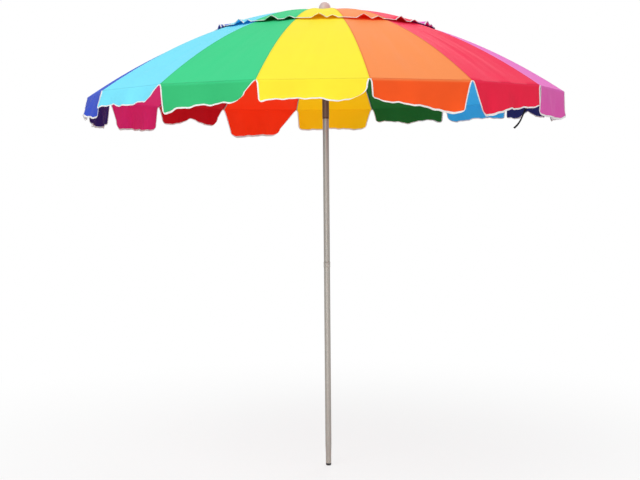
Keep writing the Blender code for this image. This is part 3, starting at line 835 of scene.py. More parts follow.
@dataclass
class Canopy:
    """The main canopy: gores from the vent to the rim, and a flap below each."""

    skeleton: Skeleton
    finishes: Finishes
    rim_radius: float = 1.10
    rim_height: float = 1.756
    rise: float = 0.394
    bow: float = 1.9
    vent_radius: float = 0.40
    cloth: float = 0.0006
    sag: float = 0.007
    pucker: float = 0.0035
    tape_width: float = 0.0058
    tape_thickness: float = 0.0019
    notch: float = 0.004
    scallop: float = 0.0020
    arc_factor: float = 1.12
    flat: Point = (0.43, 0.93)
    flat_area: float = 0.276
    folded_share: float = 0.34

    def height(self, radius: float) -> float:
        """Height of the cloth over a rib."""
        return self.rim_height + self.rise * (1 - (radius / self.rim_radius) ** self.bow)

    def normal(self, radius: float) -> Vector:
        """Upward normal of the cloth over a rib, in the rib's plane."""
        slope = self.rise * self.bow / self.rim_radius * (radius / self.rim_radius) ** (self.bow - 1)
        return Vector((slope, 0, 1)).normalized()

    def gore_point(self, gore: int, side: int, a: float, radius: float) -> Vector:
        """A point of the half gore beside a rib, in the rib's plane.

        Args:
            gore: the gore's number.
            side: 1 for the gore on the counter-clockwise side, -1 for the other.
            a: 0 at the rib, 1 at the middle of the gore.
            radius: the ring it lies on, measured over the rib.

        Returns:
            The point.
        """
        sine, cosine = math.sin(HALF_GORE), math.cos(HALF_GORE)
        sideways = side * a * radius * sine * cosine
        point = Vector((radius * (1 - a * sine * sine), sideways, self.height(radius)))
        span = (radius - self.vent_radius) / (self.rim_radius - self.vent_radius)
        ring = math.sin(math.pi * min(max(span, 0.0), 1.0)) ** 0.8
        droop = self.sag * ring * (1 - (1 - a) ** 2)
        share = a / 2 if side > 0 else 1 - a / 2
        wave = math.sin(2 * math.pi * (2.6 * share + 0.37 * gore)) * math.sin(math.pi * share)
        fine = math.sin(2 * math.pi * (6.3 * share + 0.61 * gore + 1.5 * span)) * math.sin(math.pi * share)
        slack = 4.5 * span**3 * max(0.0, 1 - span)
        ripple = slack * self.pucker * (wave + 0.4 * fine)
        return point + self.normal(radius) * (ripple - droop)

    def columns(self) -> list[float]:
        """Columns across a half gore: the first is as wide as the tape."""
        wide = self.tape_width / (self.rim_radius * math.sin(HALF_GORE))
        return [0.0] + [wide + (1 - wide) * k / 20 for k in range(21)]

    def rows(self) -> list[float]:
        """Rows down a flap: the last is as high as the tape."""
        high = self.tape_width / 0.095
        return [k * (1 - high) / 12 for k in range(13)] + [1.0]

    def flap_flat(self, gore: int, side: int, a: float, b: float) -> Point:
        """A point of a half flap before it ripples: metres along the rim from the rib, and down.

        Args:
            gore: the gore's number.
            side: 1 if the rib is on the flap's left as seen from outside, -1 if on its right.
            a: 0 on the free edge beside the rib, 1 at the middle of the gore.
            b: 0 at the rim, 1 on the lower edge.

        Returns:
            The distance along the rim and the depth.
        """
        half = self.rim_radius * math.sin(HALF_GORE)
        hang = HANGS[gore]
        lean, wide, high = (hang.left if side > 0 else hang.right).value

        def deep(x: float) -> float:
            share = x / (2 * half) if side > 0 else 1 - x / (2 * half)
            slow = math.sin(2 * math.pi * (4.7 * share + hang.phase))
            quick = math.sin(2 * math.pi * (10.3 * share - 2 * hang.phase))
            return hang.drape.depth(share) + self.scallop * (slow + 0.5 * quick)

        full = deep(self.notch + lean * deep(0.0) + wide)
        edge = self.notch + lean * (full - high)
        corner_x = edge + wide * (1 - math.sqrt(0.5))
        corner_y = full - high * (1 - math.sqrt(0.5))

        def left(v: float) -> Point:
            y = v * corner_y
            x = self.notch * min(1.0, y / 0.012) + lean * min(y, full - high)
            over = max(0.0, y - (full - high)) / high
            return x + wide * (1 - math.sqrt(1 - over**2)), y

        def low(u: float) -> Point:
            x = corner_x + (half - corner_x) * u
            short = max(0.0, wide - (x - edge)) / wide
            return x, deep(x) - high * (1 - math.sqrt(max(1 - short**2, 0.0)))

        end_x, end_y = left(1.0)
        first = low(0.0)
        side_x, side_y = left(b)
        low_x, low_y = low(a)
        low_x += (end_x - first[0]) * (1 - a)
        low_y += (end_y - first[1]) * (1 - a)
        middle = deep(half)
        x = (1 - b) * a * half + b * low_x + (1 - a) * side_x + a * half
        x -= a * (1 - b) * half + (1 - a) * b * end_x + a * b * half
        y = b * low_y + (1 - a) * side_y + a * b * middle - (1 - a) * b * end_y - a * b * middle
        return x, y

    def flap_point(self, gore: int, side: int, a: float, b: float) -> Vector:
        """A point of a half flap as it hangs, in the rib's plane."""
        x, y = self.flap_flat(gore, side, a, b)
        hang = HANGS[gore]
        half = self.rim_radius * math.sin(HALF_GORE)
        share = x / (2 * half) if side > 0 else 1 - x / (2 * half)
        reach = y / 0.11
        wave = math.sin(2 * math.pi * (hang.waves * share + hang.phase))
        second = math.sin(2 * math.pi * (hang.waves * 2.3 * share - hang.phase))
        out = hang.swing * y + reach**1.3 * hang.ripple * (1.3 * wave + 0.45 * second)
        curl = max(0.0, 1 - abs(share - 0.5 + 0.5 * side) / 0.10)
        out -= 0.010 * curl * reach**2
        corner = Vector((self.rim_radius, 0, self.rim_height))
        along = Vector((-math.sin(HALF_GORE), side * math.cos(HALF_GORE), 0))
        outward = Vector((math.cos(HALF_GORE), side * math.sin(HALF_GORE), 0))
        drop = math.sqrt(max(y * y - out * out, 0.0)) if y > abs(out) else y
        return corner + along * x + outward * out + Vector((0, 0, -drop))

    def half_gore(self, gore: int, side: int) -> bpy.types.Object:
        """The cloth between a rib and the middle of a gore."""
        low, high = self.vent_radius, self.rim_radius
        half_angle = math.sin(HALF_GORE)

        def place(a: float, b: float) -> Vector:
            return self.gore_point(gore, side, a, low + (high - low) * b)

        def measure(a: float, b: float) -> Point:
            radius = low + (high - low) * b
            return side * a * radius * half_angle, radius * self.arc_factor

        return Workshop.patch(self.columns(), steps(34), place, measure, Vector((0, 0, 1)))

    def half_flap(self, gore: int, side: int) -> bpy.types.Object:
        """One half of a gore's flap."""

        def place(a: float, b: float) -> Vector:
            return self.flap_point(gore, side, a, b)

        def measure(a: float, b: float) -> Point:
            x, y = self.flap_flat(gore, side, a, b)
            return side * (x + 0.012), self.rim_radius * self.arc_factor + y

        outward = Vector((math.cos(HALF_GORE), side * math.sin(HALF_GORE), 0))
        return Workshop.patch(self.columns(), self.rows(), place, measure, outward)

    def half_tape(self, gore: int, side: int) -> bpy.types.Object:
        """The tape along the free edge of half a flap."""
        columns, rows = self.columns(), self.rows()

        def place(a: float, b: float) -> Vector:
            return self.flap_point(gore, side, a, b)

        def measure(a: float, b: float) -> Point:
            return self.flap_flat(gore, side, a, b)

        outward = Vector((math.cos(HALF_GORE), side * math.sin(HALF_GORE), 0))
        upright = Workshop.patch(columns[:2], rows, place, measure, outward)
        level = Workshop.patch(columns[1:], rows[-2:], place, measure, outward)
        return Workshop.join("tape", [upright, level])

    def build(self) -> None:
        """Makes the cloth and the tape that ride on each rib."""
        for index, angle in enumerate(self.skeleton.rib_angles):
            gores = {-1: index % GORES, 1: (index + 1) % GORES}
            dyes_and_shades = [gores[-1] % len(DYES_AND_SHADES), gores[1] % len(DYES_AND_SHADES)]
            outer = [self.finishes.outer[dye_and_shade] for dye_and_shade in dyes_and_shades]
            inner = [self.finishes.inner[dye_and_shade] for dye_and_shade in dyes_and_shades]
            parts, tapes = [], []
            for order, side in enumerate((-1, 1)):
                for piece in (self.half_gore(gores[side], side), self.half_flap(gores[side], side)):
                    Workshop.dress(piece, *outer, *inner)
                    piece.data.polygons.foreach_set("material_index", [order] * len(piece.data.polygons))
                    parts.append(piece)
                tapes.append(self.half_tape(gores[side], side))
            number = index + 1
            cloth = Workshop.join(f"canopy_cloth_{number:02d}", parts)
            Workshop.thicken(cloth, self.cloth, -1.0, inside=2)
            Workshop.smooth(cloth, 50)
            tape = Workshop.join(f"flap_tape_{number:02d}", tapes)
            Workshop.dress(tape, self.finishes.tape)
            Workshop.thicken(tape, self.tape_thickness, 0.2)
            Workshop.smooth(tape, 50)
            turn = turn_about_pole(angle)
            for piece in (cloth, tape):
                piece.data.transform(turn)
            self.fit(cloth, number, angle)
            self.fit(tape, number, angle)
        LOG.info("canopy of %d pieces", len(self.skeleton.rib_angles))

    def fit(self, piece: bpy.types.Object, number: int, angle: float) -> None:
        """Rides a piece on its rib, so that it turns with the rib as the umbrella folds."""
        Workshop.mount(piece, f"rib_{number:02d}", "canopy_cloth", "canopy")
        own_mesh(piece)


@dataclass
class VentCap:
    """The small canopy over the vent, with its taped hem standing up in peaks."""

    skeleton: Skeleton
    finishes: Finishes
    canopy: Canopy
    top: float = 2.1615
    radius: float = 0.52
    inner_radius: float = 0.026
    hem_lift: float = 0.006
    peak_height: float = 0.020
    peak_run: float = 0.075
    cloth: float = 0.0006
    tape_width: float = 0.0058
    tape_thickness: float = 0.0018
    arc_factor: float = 1.03
    flat: Point = (0.21, 0.51)
    flat_area: float = 0.055
    folded_share: float = 0.52

    def lift(self, gore: int, share: float) -> float:
        """How far the hem stands up at a share of the way across a gore."""
        jitter = 0.05 * math.sin(2.4 * gore + 0.6)
        peaks = ((0.46 + jitter, 0.16, 1.0), (0.80 - jitter, 0.12, 0.55))
        return self.peak_height * max(h * max(0.0, 1 - abs(share - c) / w) ** 0.85 for c, w, h in peaks)

    def point(self, gore: int, side: int, a: float, radius: float) -> Vector:
        """A point of the cap beside a rib, in the rib's plane."""
        sine, cosine = math.sin(HALF_GORE), math.cos(HALF_GORE)
        hem = self.canopy.height(self.radius) + self.hem_lift
        height = self.top - (self.top - hem) * (radius / self.radius) ** 2
        share = a / 2 if side > 0 else 1 - a / 2
        near_hem = max(0.0, 1 - (self.radius - radius) / self.peak_run)
        height += self.lift(gore, share) * near_hem**1.6
        height -= 0.004 * math.sin(math.pi * radius / self.radius) * (1 - (1 - a) ** 2)
        return Vector((radius * (1 - a * sine * sine), side * a * radius * sine * cosine, height))

    def half(self, gore: int, side: int, rows: Sequence[float]) -> bpy.types.Object:
        """Half a gore of the cap over some of its rows, where 0 is the crown and 1 the hem."""
        half_angle = math.sin(HALF_GORE)
        span = self.radius - self.inner_radius

        def place(a: float, b: float) -> Vector:
            return self.point(gore, side, a, self.inner_radius + span * b)

        def measure(a: float, b: float) -> Point:
            radius = self.inner_radius + span * b
            return side * a * radius * half_angle, radius * self.arc_factor

        columns = [0.0, 0.04, 0.06] + [0.06 + 0.94 * k / 24 for k in range(1, 25)]
        return Workshop.patch(columns, rows, place, measure, Vector((0, 0, 1)))

    def build(self) -> None:
        """Makes the cap's cloth and taped hem that ride on each rib."""
        hem = 1 - self.tape_width / (self.radius - self.inner_radius)
        rows = [k * hem / 28 for k in range(29)] + [1.0]
        for index, angle in enumerate(self.skeleton.rib_angles):
            gores = {-1: index % GORES, 1: (index + 1) % GORES}
            dyes_and_shades = [gores[-1] % len(DYES_AND_SHADES), gores[1] % len(DYES_AND_SHADES)]
            outer = [self.finishes.outer[dye_and_shade] for dye_and_shade in dyes_and_shades]
            inner = [self.finishes.inner[dye_and_shade] for dye_and_shade in dyes_and_shades]
            parts, tapes = [], []
            for order, side in enumerate((-1, 1)):
                piece = self.half(gores[side], side, rows)
                Workshop.dress(piece, *outer, *inner)
                piece.data.polygons.foreach_set("material_index", [order] * len(piece.data.polygons))
                parts.append(piece)
                tapes.append(self.half(gores[side], side, rows[-2:]))
            number = index + 1
            cloth = Workshop.join(f"cap_cloth_{number:02d}", parts)
            Workshop.thicken(cloth, self.cloth, -1.0, inside=2)
            Workshop.smooth(cloth, 50)
            tape = Workshop.join(f"cap_tape_{number:02d}", tapes)
            Workshop.dress(tape, self.finishes.tape)
            Workshop.thicken(tape, self.tape_thickness, 0.2)
            Workshop.smooth(tape, 50)
            turn = turn_about_pole(angle)
            for piece in (cloth, tape):
                piece.data.transform(turn)
                Workshop.mount(piece, f"rib_{number:02d}", "cap_cloth", "vent_cap")
                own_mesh(piece)


# ---- ribs, stretchers, hubs -------------------------------------------------------------------


@dataclass
class RibWork:
    """Ribs and stretchers, each modelled once and copied round the pole."""

    skeleton: Skeleton
    finishes: Finishes
    canopy: Canopy
    rod_radius: float = 0.0025
    drop: float = 0.0066
    rib_end: float = 1.088
    tip_radius: float = 0.0035
    eye_radius: float = 0.0040
    eye_hole: float = 0.0016
    blade: float = 0.0024
    saddle_radius: float = 0.500
    saddle_drop: float = 0.0075
    saddle_tilt: float = math.radians(18.5)
    stretcher_radius: float = 0.0020
    offset: float = 0.0060

    def rod_point(self, radius: float) -> Vector:
        """Centre of the rib's rod in its own plane."""
        return Vector((radius, 0, self.canopy.height(radius) - self.drop))

    def rivet(self) -> Vector:
        """Centre of the rivet between rib and stretcher, in the rib's plane."""
        down = Vector((-math.sin(self.saddle_tilt), 0, -math.cos(self.saddle_tilt)))
        return self.rod_point(self.saddle_radius) + down * self.saddle_drop

    def eye(self, centre: Vector, side_shift: float) -> bpy.types.Object:
        """A flattened round eye with a hole, lying in the rib's plane."""
        place = centre + Vector((0, side_shift, 0))
        disc = Workshop.peg(self.eye_radius, self.blade, place, "Y", 28)
        hole = Workshop.peg(self.eye_hole, 3 * self.blade, place, "Y", 20)
        Workshop.fuse(disc, [hole], cut=True)
        return disc

    def model_rib(self) -> bpy.types.Object:
        """The rib in its own plane: eye, blade, bowed rod, crimped saddle, rivet and ball tip."""
        pivot = self.skeleton.crown
        first = 0.040
        path = [pivot + Vector((0.009, 0, 0))]
        count = 40
        for k in range(count + 1):
            path.append(self.rod_point(first + (self.rib_end - first) * k / count))
        rod = Workshop.rod("rib", path, self.rod_radius)
        blade = Workshop.block((0.010, self.blade, 0.0046), pivot + Vector((0.0065, 0, 0)))
        middle = (self.rod_point(self.saddle_radius) + self.rivet()) / 2
        saddle = Workshop.block((0.016, 0.0070, 0.0140), middle, self.saddle_tilt)
        Workshop.bevel(saddle, 0.0011, 3)
        rivet = self.rivet()
        pin = Workshop.peg(0.0013, 0.0125, rivet + Vector((0, 0.0028, 0)), "Y", 20)
        heads = [
            Workshop.peg(0.0025, 0.0010, rivet + Vector((0, y, 0)), "Y", 20) for y in (-0.0038, 0.0080)
        ]
        for head in heads:
            Workshop.bevel(head, 0.0004, 2)
        bpy.ops.mesh.primitive_uv_sphere_add(
            segments=20, ring_count=12, radius=self.tip_radius, location=self.rod_point(self.rib_end)
        )
        ball = bpy.context.object
        Workshop.settle(ball)
        Workshop.fuse(rod, [self.eye(pivot, 0.0), blade, saddle, pin, *heads, ball])
        Workshop.smooth(rod, 38)
        return rod

    def model_stretcher(self) -> bpy.types.Object:
        """The stretcher beside the rib: a rod with a flattened eye at each end."""
        pivot_x = math.sqrt(self.skeleton.crown.x**2 - self.offset**2)
        inner = Vector((pivot_x, 0, self.skeleton.runner_height))
        outer = self.rivet()
        along = (outer - inner).normalized()
        shift = Vector((0, self.offset, 0))
        rod = Workshop.rod(
            "stretcher", [inner + along * 0.008 + shift, outer - along * 0.008 + shift], self.stretcher_radius
        )
        tilt = -math.atan2(along.z, along.x)
        parts = []
        for centre, way in ((inner, 1), (outer, -1)):
            parts.append(self.eye(centre, self.offset))
            middle = centre + along * (0.0065 * way) + shift
            neck = Workshop.block((0.010, self.blade, 0.0044), middle, tilt)
            Workshop.bevel(neck, 0.0004, 2)
            parts.append(neck)
        Workshop.fuse(rod, parts)
        Workshop.smooth(rod, 38)
        return rod

    def build(self) -> None:
        """Copies the rib and the stretcher round the pole."""
        rib = self.model_rib()
        stretcher = self.model_stretcher()
        Workshop.dress(rib, self.finishes.fibreglass)
        Workshop.dress(stretcher, self.finishes.wire)
        for index, angle in enumerate(self.skeleton.rib_angles):
            tag = f"{index + 1:02d}"
            turn = turn_about_pole(angle)
            bow = Workshop.twin(rib, f"rib_rod_{tag}", turn)
            Workshop.mount(bow, f"rib_{tag}", "rib_fibreglass", f"rib_{tag}")
            arm = Workshop.twin(stretcher, f"stretcher_rod_{tag}", turn)
            Workshop.mount(arm, f"stretcher_{tag}", "stretcher_steel", f"stretcher_{tag}")
        for model in (rib, stretcher):
            bpy.data.objects.remove(model, do_unlink=True)


@dataclass
class Hubs:
    """The notched crown and runner hubs, their ring wires, the washer, the finial and the sleeve."""

    skeleton: Skeleton
    finishes: Finishes
    radius: float = 0.030
    half: float = 0.006
    slot_width: float = 0.0034
    slot_floor: float = 0.0208
    groove: float = 0.0014
    bore: float = 0.0148
    cap_top: float = 2.1615
    stretcher_offset: float = 0.0060

    def rim(self, height: float) -> list[Point]:
        """Outer side of a hub with rounded lips and the groove for the ring wire."""
        floor = self.skeleton.crown.x - self.groove
        return [
            (self.radius - 0.0008, height + self.half),
            (self.radius, height + self.half - 0.0008),
            (self.radius, height + self.groove),
            (floor, height + self.groove),
            (floor, height - self.groove),
            (self.radius, height - self.groove),
            (self.radius, height - self.half + 0.0008),
            (self.radius - 0.0008, height - self.half),
        ]

    def notched(self, name: str, profile: list[Point], height: float, offset: float) -> bpy.types.Object:
        """A turned hub with sixteen slots."""
        hub = Workshop.turned(name, profile, 96)
        length = 0.02
        cutters = []
        for angle in self.skeleton.rib_angles:
            centre = (self.slot_floor + length / 2, offset, height)
            cutter = Workshop.block((length, self.slot_width, 0.05), centre)
            cutter.data.transform(turn_about_pole(angle))
            cutters.append(cutter)
        comb = Workshop.join("slots", cutters)
        Workshop.fuse(hub, [comb], cut=True)
        Workshop.smooth(hub, 32)
        Workshop.dress(hub, self.finishes.hub)
        return hub

    def wire(self, name: str, height: float) -> bpy.types.Object:
        """The ring wire, with the small opening where its ends meet."""
        radius = self.skeleton.crown.x
        points = []
        for k in range(97):
            angle = 2 * math.pi * (0.008 + 0.984 * k / 96)
            points.append(Vector((radius * math.cos(angle), radius * math.sin(angle), height)))
        ring = Workshop.rod(name, points, 0.0010, 10)
        Workshop.smooth(ring)
        Workshop.dress(ring, self.finishes.bright)
        return ring

    def build_crown(self) -> None:
        """The hub at the top of the pole, with its wire, washer and finial."""
        height = self.skeleton.crown.z
        _, high = self.skeleton.span("crown_hub")
        profile = self.rim(height) + [
            (self.bore, height - self.half),
            (self.bore, high),
            (0.0192, high),
            (0.0200, high - 0.0008),
            (0.0200, height + self.half),
        ]
        hub = self.notched("crown_notched_hub", profile, height, 0.0)
        Workshop.mount(hub, "upper_pole", "hub_plastic", "crown_hub")
        Workshop.mount(self.wire("crown_wire", height), "upper_pole", "spring_steel", "crown_ring_wire")
        low, high = self.skeleton.span("crown_washer")
        washer = Workshop.turned(
            "crown_plate", [(0.026, high), (0.026, low), (0.0078, low), (0.0078, high)], 72
        )
        Workshop.bevel(washer, 0.0004)
        Workshop.smooth(washer)
        Workshop.dress(washer, self.finishes.pole)
        Workshop.mount(washer, "upper_pole", "grey_steel", "crown_washer")
        self.build_finial()

    def build_finial(self) -> None:
        """The rounded knob, with a shallow step above its flange."""
        low, high = self.skeleton.span("finial")
        base = self.cap_top + 0.0003
        radius = 0.0290
        dome = []
        for k in range(13):
            a = math.radians(90 - 90 * k / 12)
            dome.append((radius * math.cos(a) ** 0.8, base + 0.0042 + (high - base - 0.0042) * math.sin(a)))
        profile = dome + [
            (radius, base + 0.0034),
            (radius - 0.0007, base + 0.0030),
            (radius - 0.0007, base + 0.0022),
            (radius, base + 0.0016),
            (radius - 0.0010, base),
            (0.0075, base),
            (0.0075, low + 0.0010),
            (0.0065, low),
            (0.0, low),
        ]
        knob = Workshop.turned("finial_knob", profile, 72, closed=False)
        Workshop.smooth(knob, 40)
        Workshop.dress(knob, self.finishes.knob)
        Workshop.mount(knob, "upper_pole", "finial_plastic", "finial")

    def build_runner(self) -> None:
        """The sliding sleeve, its notched hub and its wire."""
        height = self.skeleton.runner_height
        low, high = self.skeleton.span("runner_sleeve")
        outer = 0.0159
        lip = 0.0007
        sleeve = Workshop.turned(
            "runner_tube",
            [
                (outer - lip, high),
                (outer, high - lip),
                (outer, low + 0.0070),
                (outer - 0.0004, low + 0.0062),
                (outer - 0.0004, low + 0.0052),
                (outer, low + 0.0044),
                (outer, low + lip),
                (outer - lip, low),
                (self.bore, low),
                (self.bore, high),
            ],
            72,
        )
        Workshop.smooth(sleeve, 35)
        # The sleeve's colour holds painted shade and a painted reflection of the red cloth.
        Workshop.dress(sleeve, self.finishes.sleeve)
        Workshop.mount(sleeve, "runner", "dark_steel", "runner_sleeve")
        inner = 0.0162
        floor = height - self.half - 0.010
        profile = self.rim(height) + [
            (inner + 0.0027, height - self.half - 0.0006),
            (inner + 0.0025, floor + 0.0005),
            (inner + 0.0020, floor),
            (inner, floor),
            (inner, height + self.half),
        ]
        hub = self.notched("runner_notched_hub", profile, height, self.stretcher_offset)
        Workshop.mount(hub, "runner", "hub_plastic", "runner_hub")
        Workshop.mount(self.wire("runner_wire", height), "runner", "spring_steel", "runner_ring_wire")

    def build(self) -> None:
        """Builds the crown and the runner."""
        self.build_crown()
        self.build_runner()


@dataclass
class Poles:
    """The two pole lengths with their socket, foot plug, snap button and runner catch."""

    skeleton: Skeleton
    finishes: Finishes
    radius: float = 0.0145
    bore: float = 0.0135
    insert: float = 0.0132
    insert_bore: float = 0.0122
    foot: float = 0.0130
    foot_bore: float = 0.0120
    taper: Point = (0.055, 0.105)
    button_height: float = 0.930
    catch_height: float = 0.020
    gap: float = 0.0003

    def build_lower(self) -> None:
        """The lower tube: swaged foot, rolled mouth and button hole, with its collar and plug."""
        low, high = self.skeleton.span("lower_pole_tube")
        first, last = self.taper
        bend = 0.010
        tube = Workshop.turned(
            "pole_lower",
            [
                (self.radius - 0.0005, high),
                (self.radius, high - 0.0005),
                (self.radius, last),
                (self.radius - 0.00025, last - bend),
                (self.foot + 0.00025, first + bend),
                (self.foot, first),
                (self.foot, low + 0.0004),
                (self.foot - 0.0004, low),
                (self.foot_bore, low),
                (self.foot_bore, first),
                (self.bore, last),
                (self.bore, high),
            ],
            96,
        )
        hole = Workshop.peg(0.0032, 0.01, (0, self.radius, self.button_height), "Y", 32)
        Workshop.fuse(tube, [hole], cut=True)
        Workshop.smooth(tube, 30)
        Workshop.dress(tube, self.finishes.pole)
        Workshop.mount(tube, "lower_pole", "grey_steel", "lower_pole_tube")
        low, high = self.skeleton.span("pole_socket_collar")
        outer = 0.0160
        inner = self.radius + self.gap
        collar = Workshop.turned(
            "pole_collar",
            [
                (outer - 0.0008, high),
                (outer, high - 0.0012),
                (outer, high - 0.0050),
                (outer - 0.0005, high - 0.0058),
                (outer - 0.0005, low + 0.0058),
                (outer, low + 0.0050),
                (outer, low + 0.0012),
                (outer - 0.0008, low),
                (inner, low),
                (inner, high),
            ],
            96,
        )
        Workshop.smooth(collar, 35)
        Workshop.dress(collar, self.finishes.pole)
        Workshop.mount(collar, "lower_pole", "grey_steel", "pole_socket_collar")
        low, high = self.skeleton.span("foot_plug")
        neck = self.foot_bore - self.gap
        plug = Workshop.turned(
            "foot_cap",
            [
                (0.0, high),
                (neck - 0.0015, high),
                (neck, high - 0.002),
                (neck, 0.011),
                (self.foot - 0.0004, 0.011),
                (self.foot, 0.0106),
                (self.foot, 0.0048),
                (self.foot - 0.0005, 0.0030),
                (self.foot - 0.0014, 0.0013),
                (self.foot - 0.0028, 0.0003),
                (self.foot - 0.0040, 0.0),
                (0.0, 0.0),
            ],
            64,
            closed=False,
        )
        Workshop.smooth(plug, 35)
        Workshop.dress(plug, self.finishes.plug)
        Workshop.mount(plug, "lower_pole", "plug_plastic", "foot_plug")

    def build_upper(self) -> None:
        """The upper tube: swaged insert, shoulder at the joint, button hole and catch slot."""
        low, high = self.skeleton.span("upper_pole_tube")
        _, mouth = self.skeleton.span("lower_pole_tube")
        shoulder = mouth + self.gap
        tube = Workshop.turned(
            "pole_upper",
            [
                (self.radius, high),
                (self.radius, shoulder + 0.0030),
                (self.radius - 0.0003, shoulder + 0.0012),
                (self.radius - 0.0010, shoulder),
                (self.insert, shoulder),
                (self.insert, low + 0.0020),
                (self.insert - 0.0006, low),
                (self.insert_bore, low),
                (self.insert_bore, shoulder + 0.003),
                (self.bore, shoulder + 0.006),
                (self.bore, high),
            ],
            96,
        )
        hole = Workshop.peg(0.0032, 0.01, (0, self.radius, self.button_height), "Y", 32)
        catch_low, catch_high = self.catch_span()
        size = (0.0046, 0.01, catch_high - catch_low + 2 * self.gap)
        slot = Workshop.block(size, (0, self.radius, (catch_low + catch_high) / 2))
        Workshop.fuse(tube, [hole, slot], cut=True)
        Workshop.smooth(tube, 30)
        Workshop.dress(tube, self.finishes.pole)
        Workshop.mount(tube, "upper_pole", "grey_steel", "upper_pole_tube")

    def catch_span(self) -> Point:
        """Lowest and highest Z of the catch's blade, just under the open runner."""
        low, _ = self.skeleton.span("runner_sleeve")
        return low - 0.0010 - self.catch_height, low - 0.0010

    def build_catches(self) -> None:
        """The snap button and the runner's catch, on their leaf springs."""
        low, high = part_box("pole_snap_button")
        back = self.insert_bore - self.gap - 0.0012
        head = Workshop.peg(
            0.0029, high[1] - back, (0, (high[1] + back) / 2, self.button_height), "Y", 32
        )
        Workshop.bevel(head, 0.0011, 4)
        leaf = Workshop.block((0.006, 0.0008, high[2] - low[2]), (0, back, (high[2] + low[2]) / 2))
        Workshop.bevel(leaf, 0.0003, 2)
        Workshop.fuse(head, [leaf])
        head.name = "snap_button"
        Workshop.smooth(head, 35)
        Workshop.dress(head, self.finishes.bright)
        Workshop.mount(head, "pole_button", "spring_steel", "pole_snap_button")
        low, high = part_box("runner_catch")
        back = self.bore - self.gap - 0.0012
        catch_low, catch_high = self.catch_span()
        blade = Workshop.block(
            (0.0040, high[1] - back, self.catch_height),
            (0, (high[1] + back) / 2, (catch_low + catch_high) / 2),
        )
        for vertex in blade.data.vertices:
            if vertex.co.y > self.radius and vertex.co.z < catch_low + 0.001:
                vertex.co.y = self.radius
        Workshop.bevel(blade, 0.0005, 3)
        leaf = Workshop.block((0.006, 0.0008, high[2] - low[2]), (0, back, (high[2] + low[2]) / 2))
        Workshop.bevel(leaf, 0.0003, 2)
        Workshop.fuse(blade, [leaf])
        blade.name = "catch_blade"
        Workshop.smooth(blade, 35)
        Workshop.dress(blade, self.finishes.bright)
        Workshop.mount(blade, "catch", "spring_steel", "runner_catch")

    def build(self) -> None:
        """Builds both lengths and both catches."""
        self.build_lower()
        self.build_upper()
        self.build_catches()


@dataclass
class Strap:
    """The black closure strap: a hanging length of webbing sewn inside the rim, with a snap at its end."""

    skeleton: Skeleton
    finishes: Finishes
    canopy: Canopy
    rib: int = 5
    angle: float = math.radians(16)
    gore_angle: float = math.radians(22.5)
    width: float = 0.010
    thickness: float = 0.0014
    length: float = 0.19
    inset: float = 0.030
    lean: float = math.radians(34)
    twist: float = math.radians(75)

    def build(self) -> None:
        """Makes the webbing with a soft bend and a twist, and the snap."""
        ring = self.canopy.rim_radius - self.inset
        reach = ring * math.cos(HALF_GORE) / math.cos(self.gore_angle - self.angle)
        top_height = self.canopy.height(ring) - 0.0055

        def place(a: float, b: float) -> Vector:
            run = b * self.length
            bend = self.lean + 0.05 * math.sin(2 * math.pi * b)
            turn = self.twist * min(1.0, 3 * b) + 0.25 * math.sin(7 * b)
            middle = Vector((-run * math.sin(bend), 0, -run * math.cos(bend)))
            sine = math.sin(turn)
            side = Vector((sine * math.cos(bend), math.cos(turn), -sine * math.sin(bend)))
            return middle + side * ((a - 0.5) * self.width)

        def measure(a: float, b: float) -> Point:
            return (a - 0.5) * self.width, b * self.length

        strap = Workshop.patch(steps(4), steps(48), place, measure, Vector((1, 0, 0)))
        strap.name = "closure_webbing"
        Workshop.thicken(strap, self.thickness, 0.0)
        snap = Workshop.peg(0.0040, 0.0044, place(0.5, 0.95), "X", 28)
        Workshop.bevel(snap, 0.0011, 3)
        snap.name = "strap_snap"
        Workshop.smooth(strap, 50)
        Workshop.smooth(snap, 40)
        Workshop.dress(strap, self.finishes.webbing)
        Workshop.dress(snap, self.finishes.plug)
        place_at = Matrix.Translation((reach, 0, top_height))
        anchor = turn_about_pole(self.angle) @ Vector((reach, 0, top_height))
        for piece in (strap, snap):
            piece.data.transform(turn_about_pole(self.angle) @ place_at)
            Workshop.mount(piece, f"rib_{self.rib:02d}", "strap_webbing", "closure_strap")
            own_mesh(piece)


# ---- studio -----------------------------------------------------------------------------------


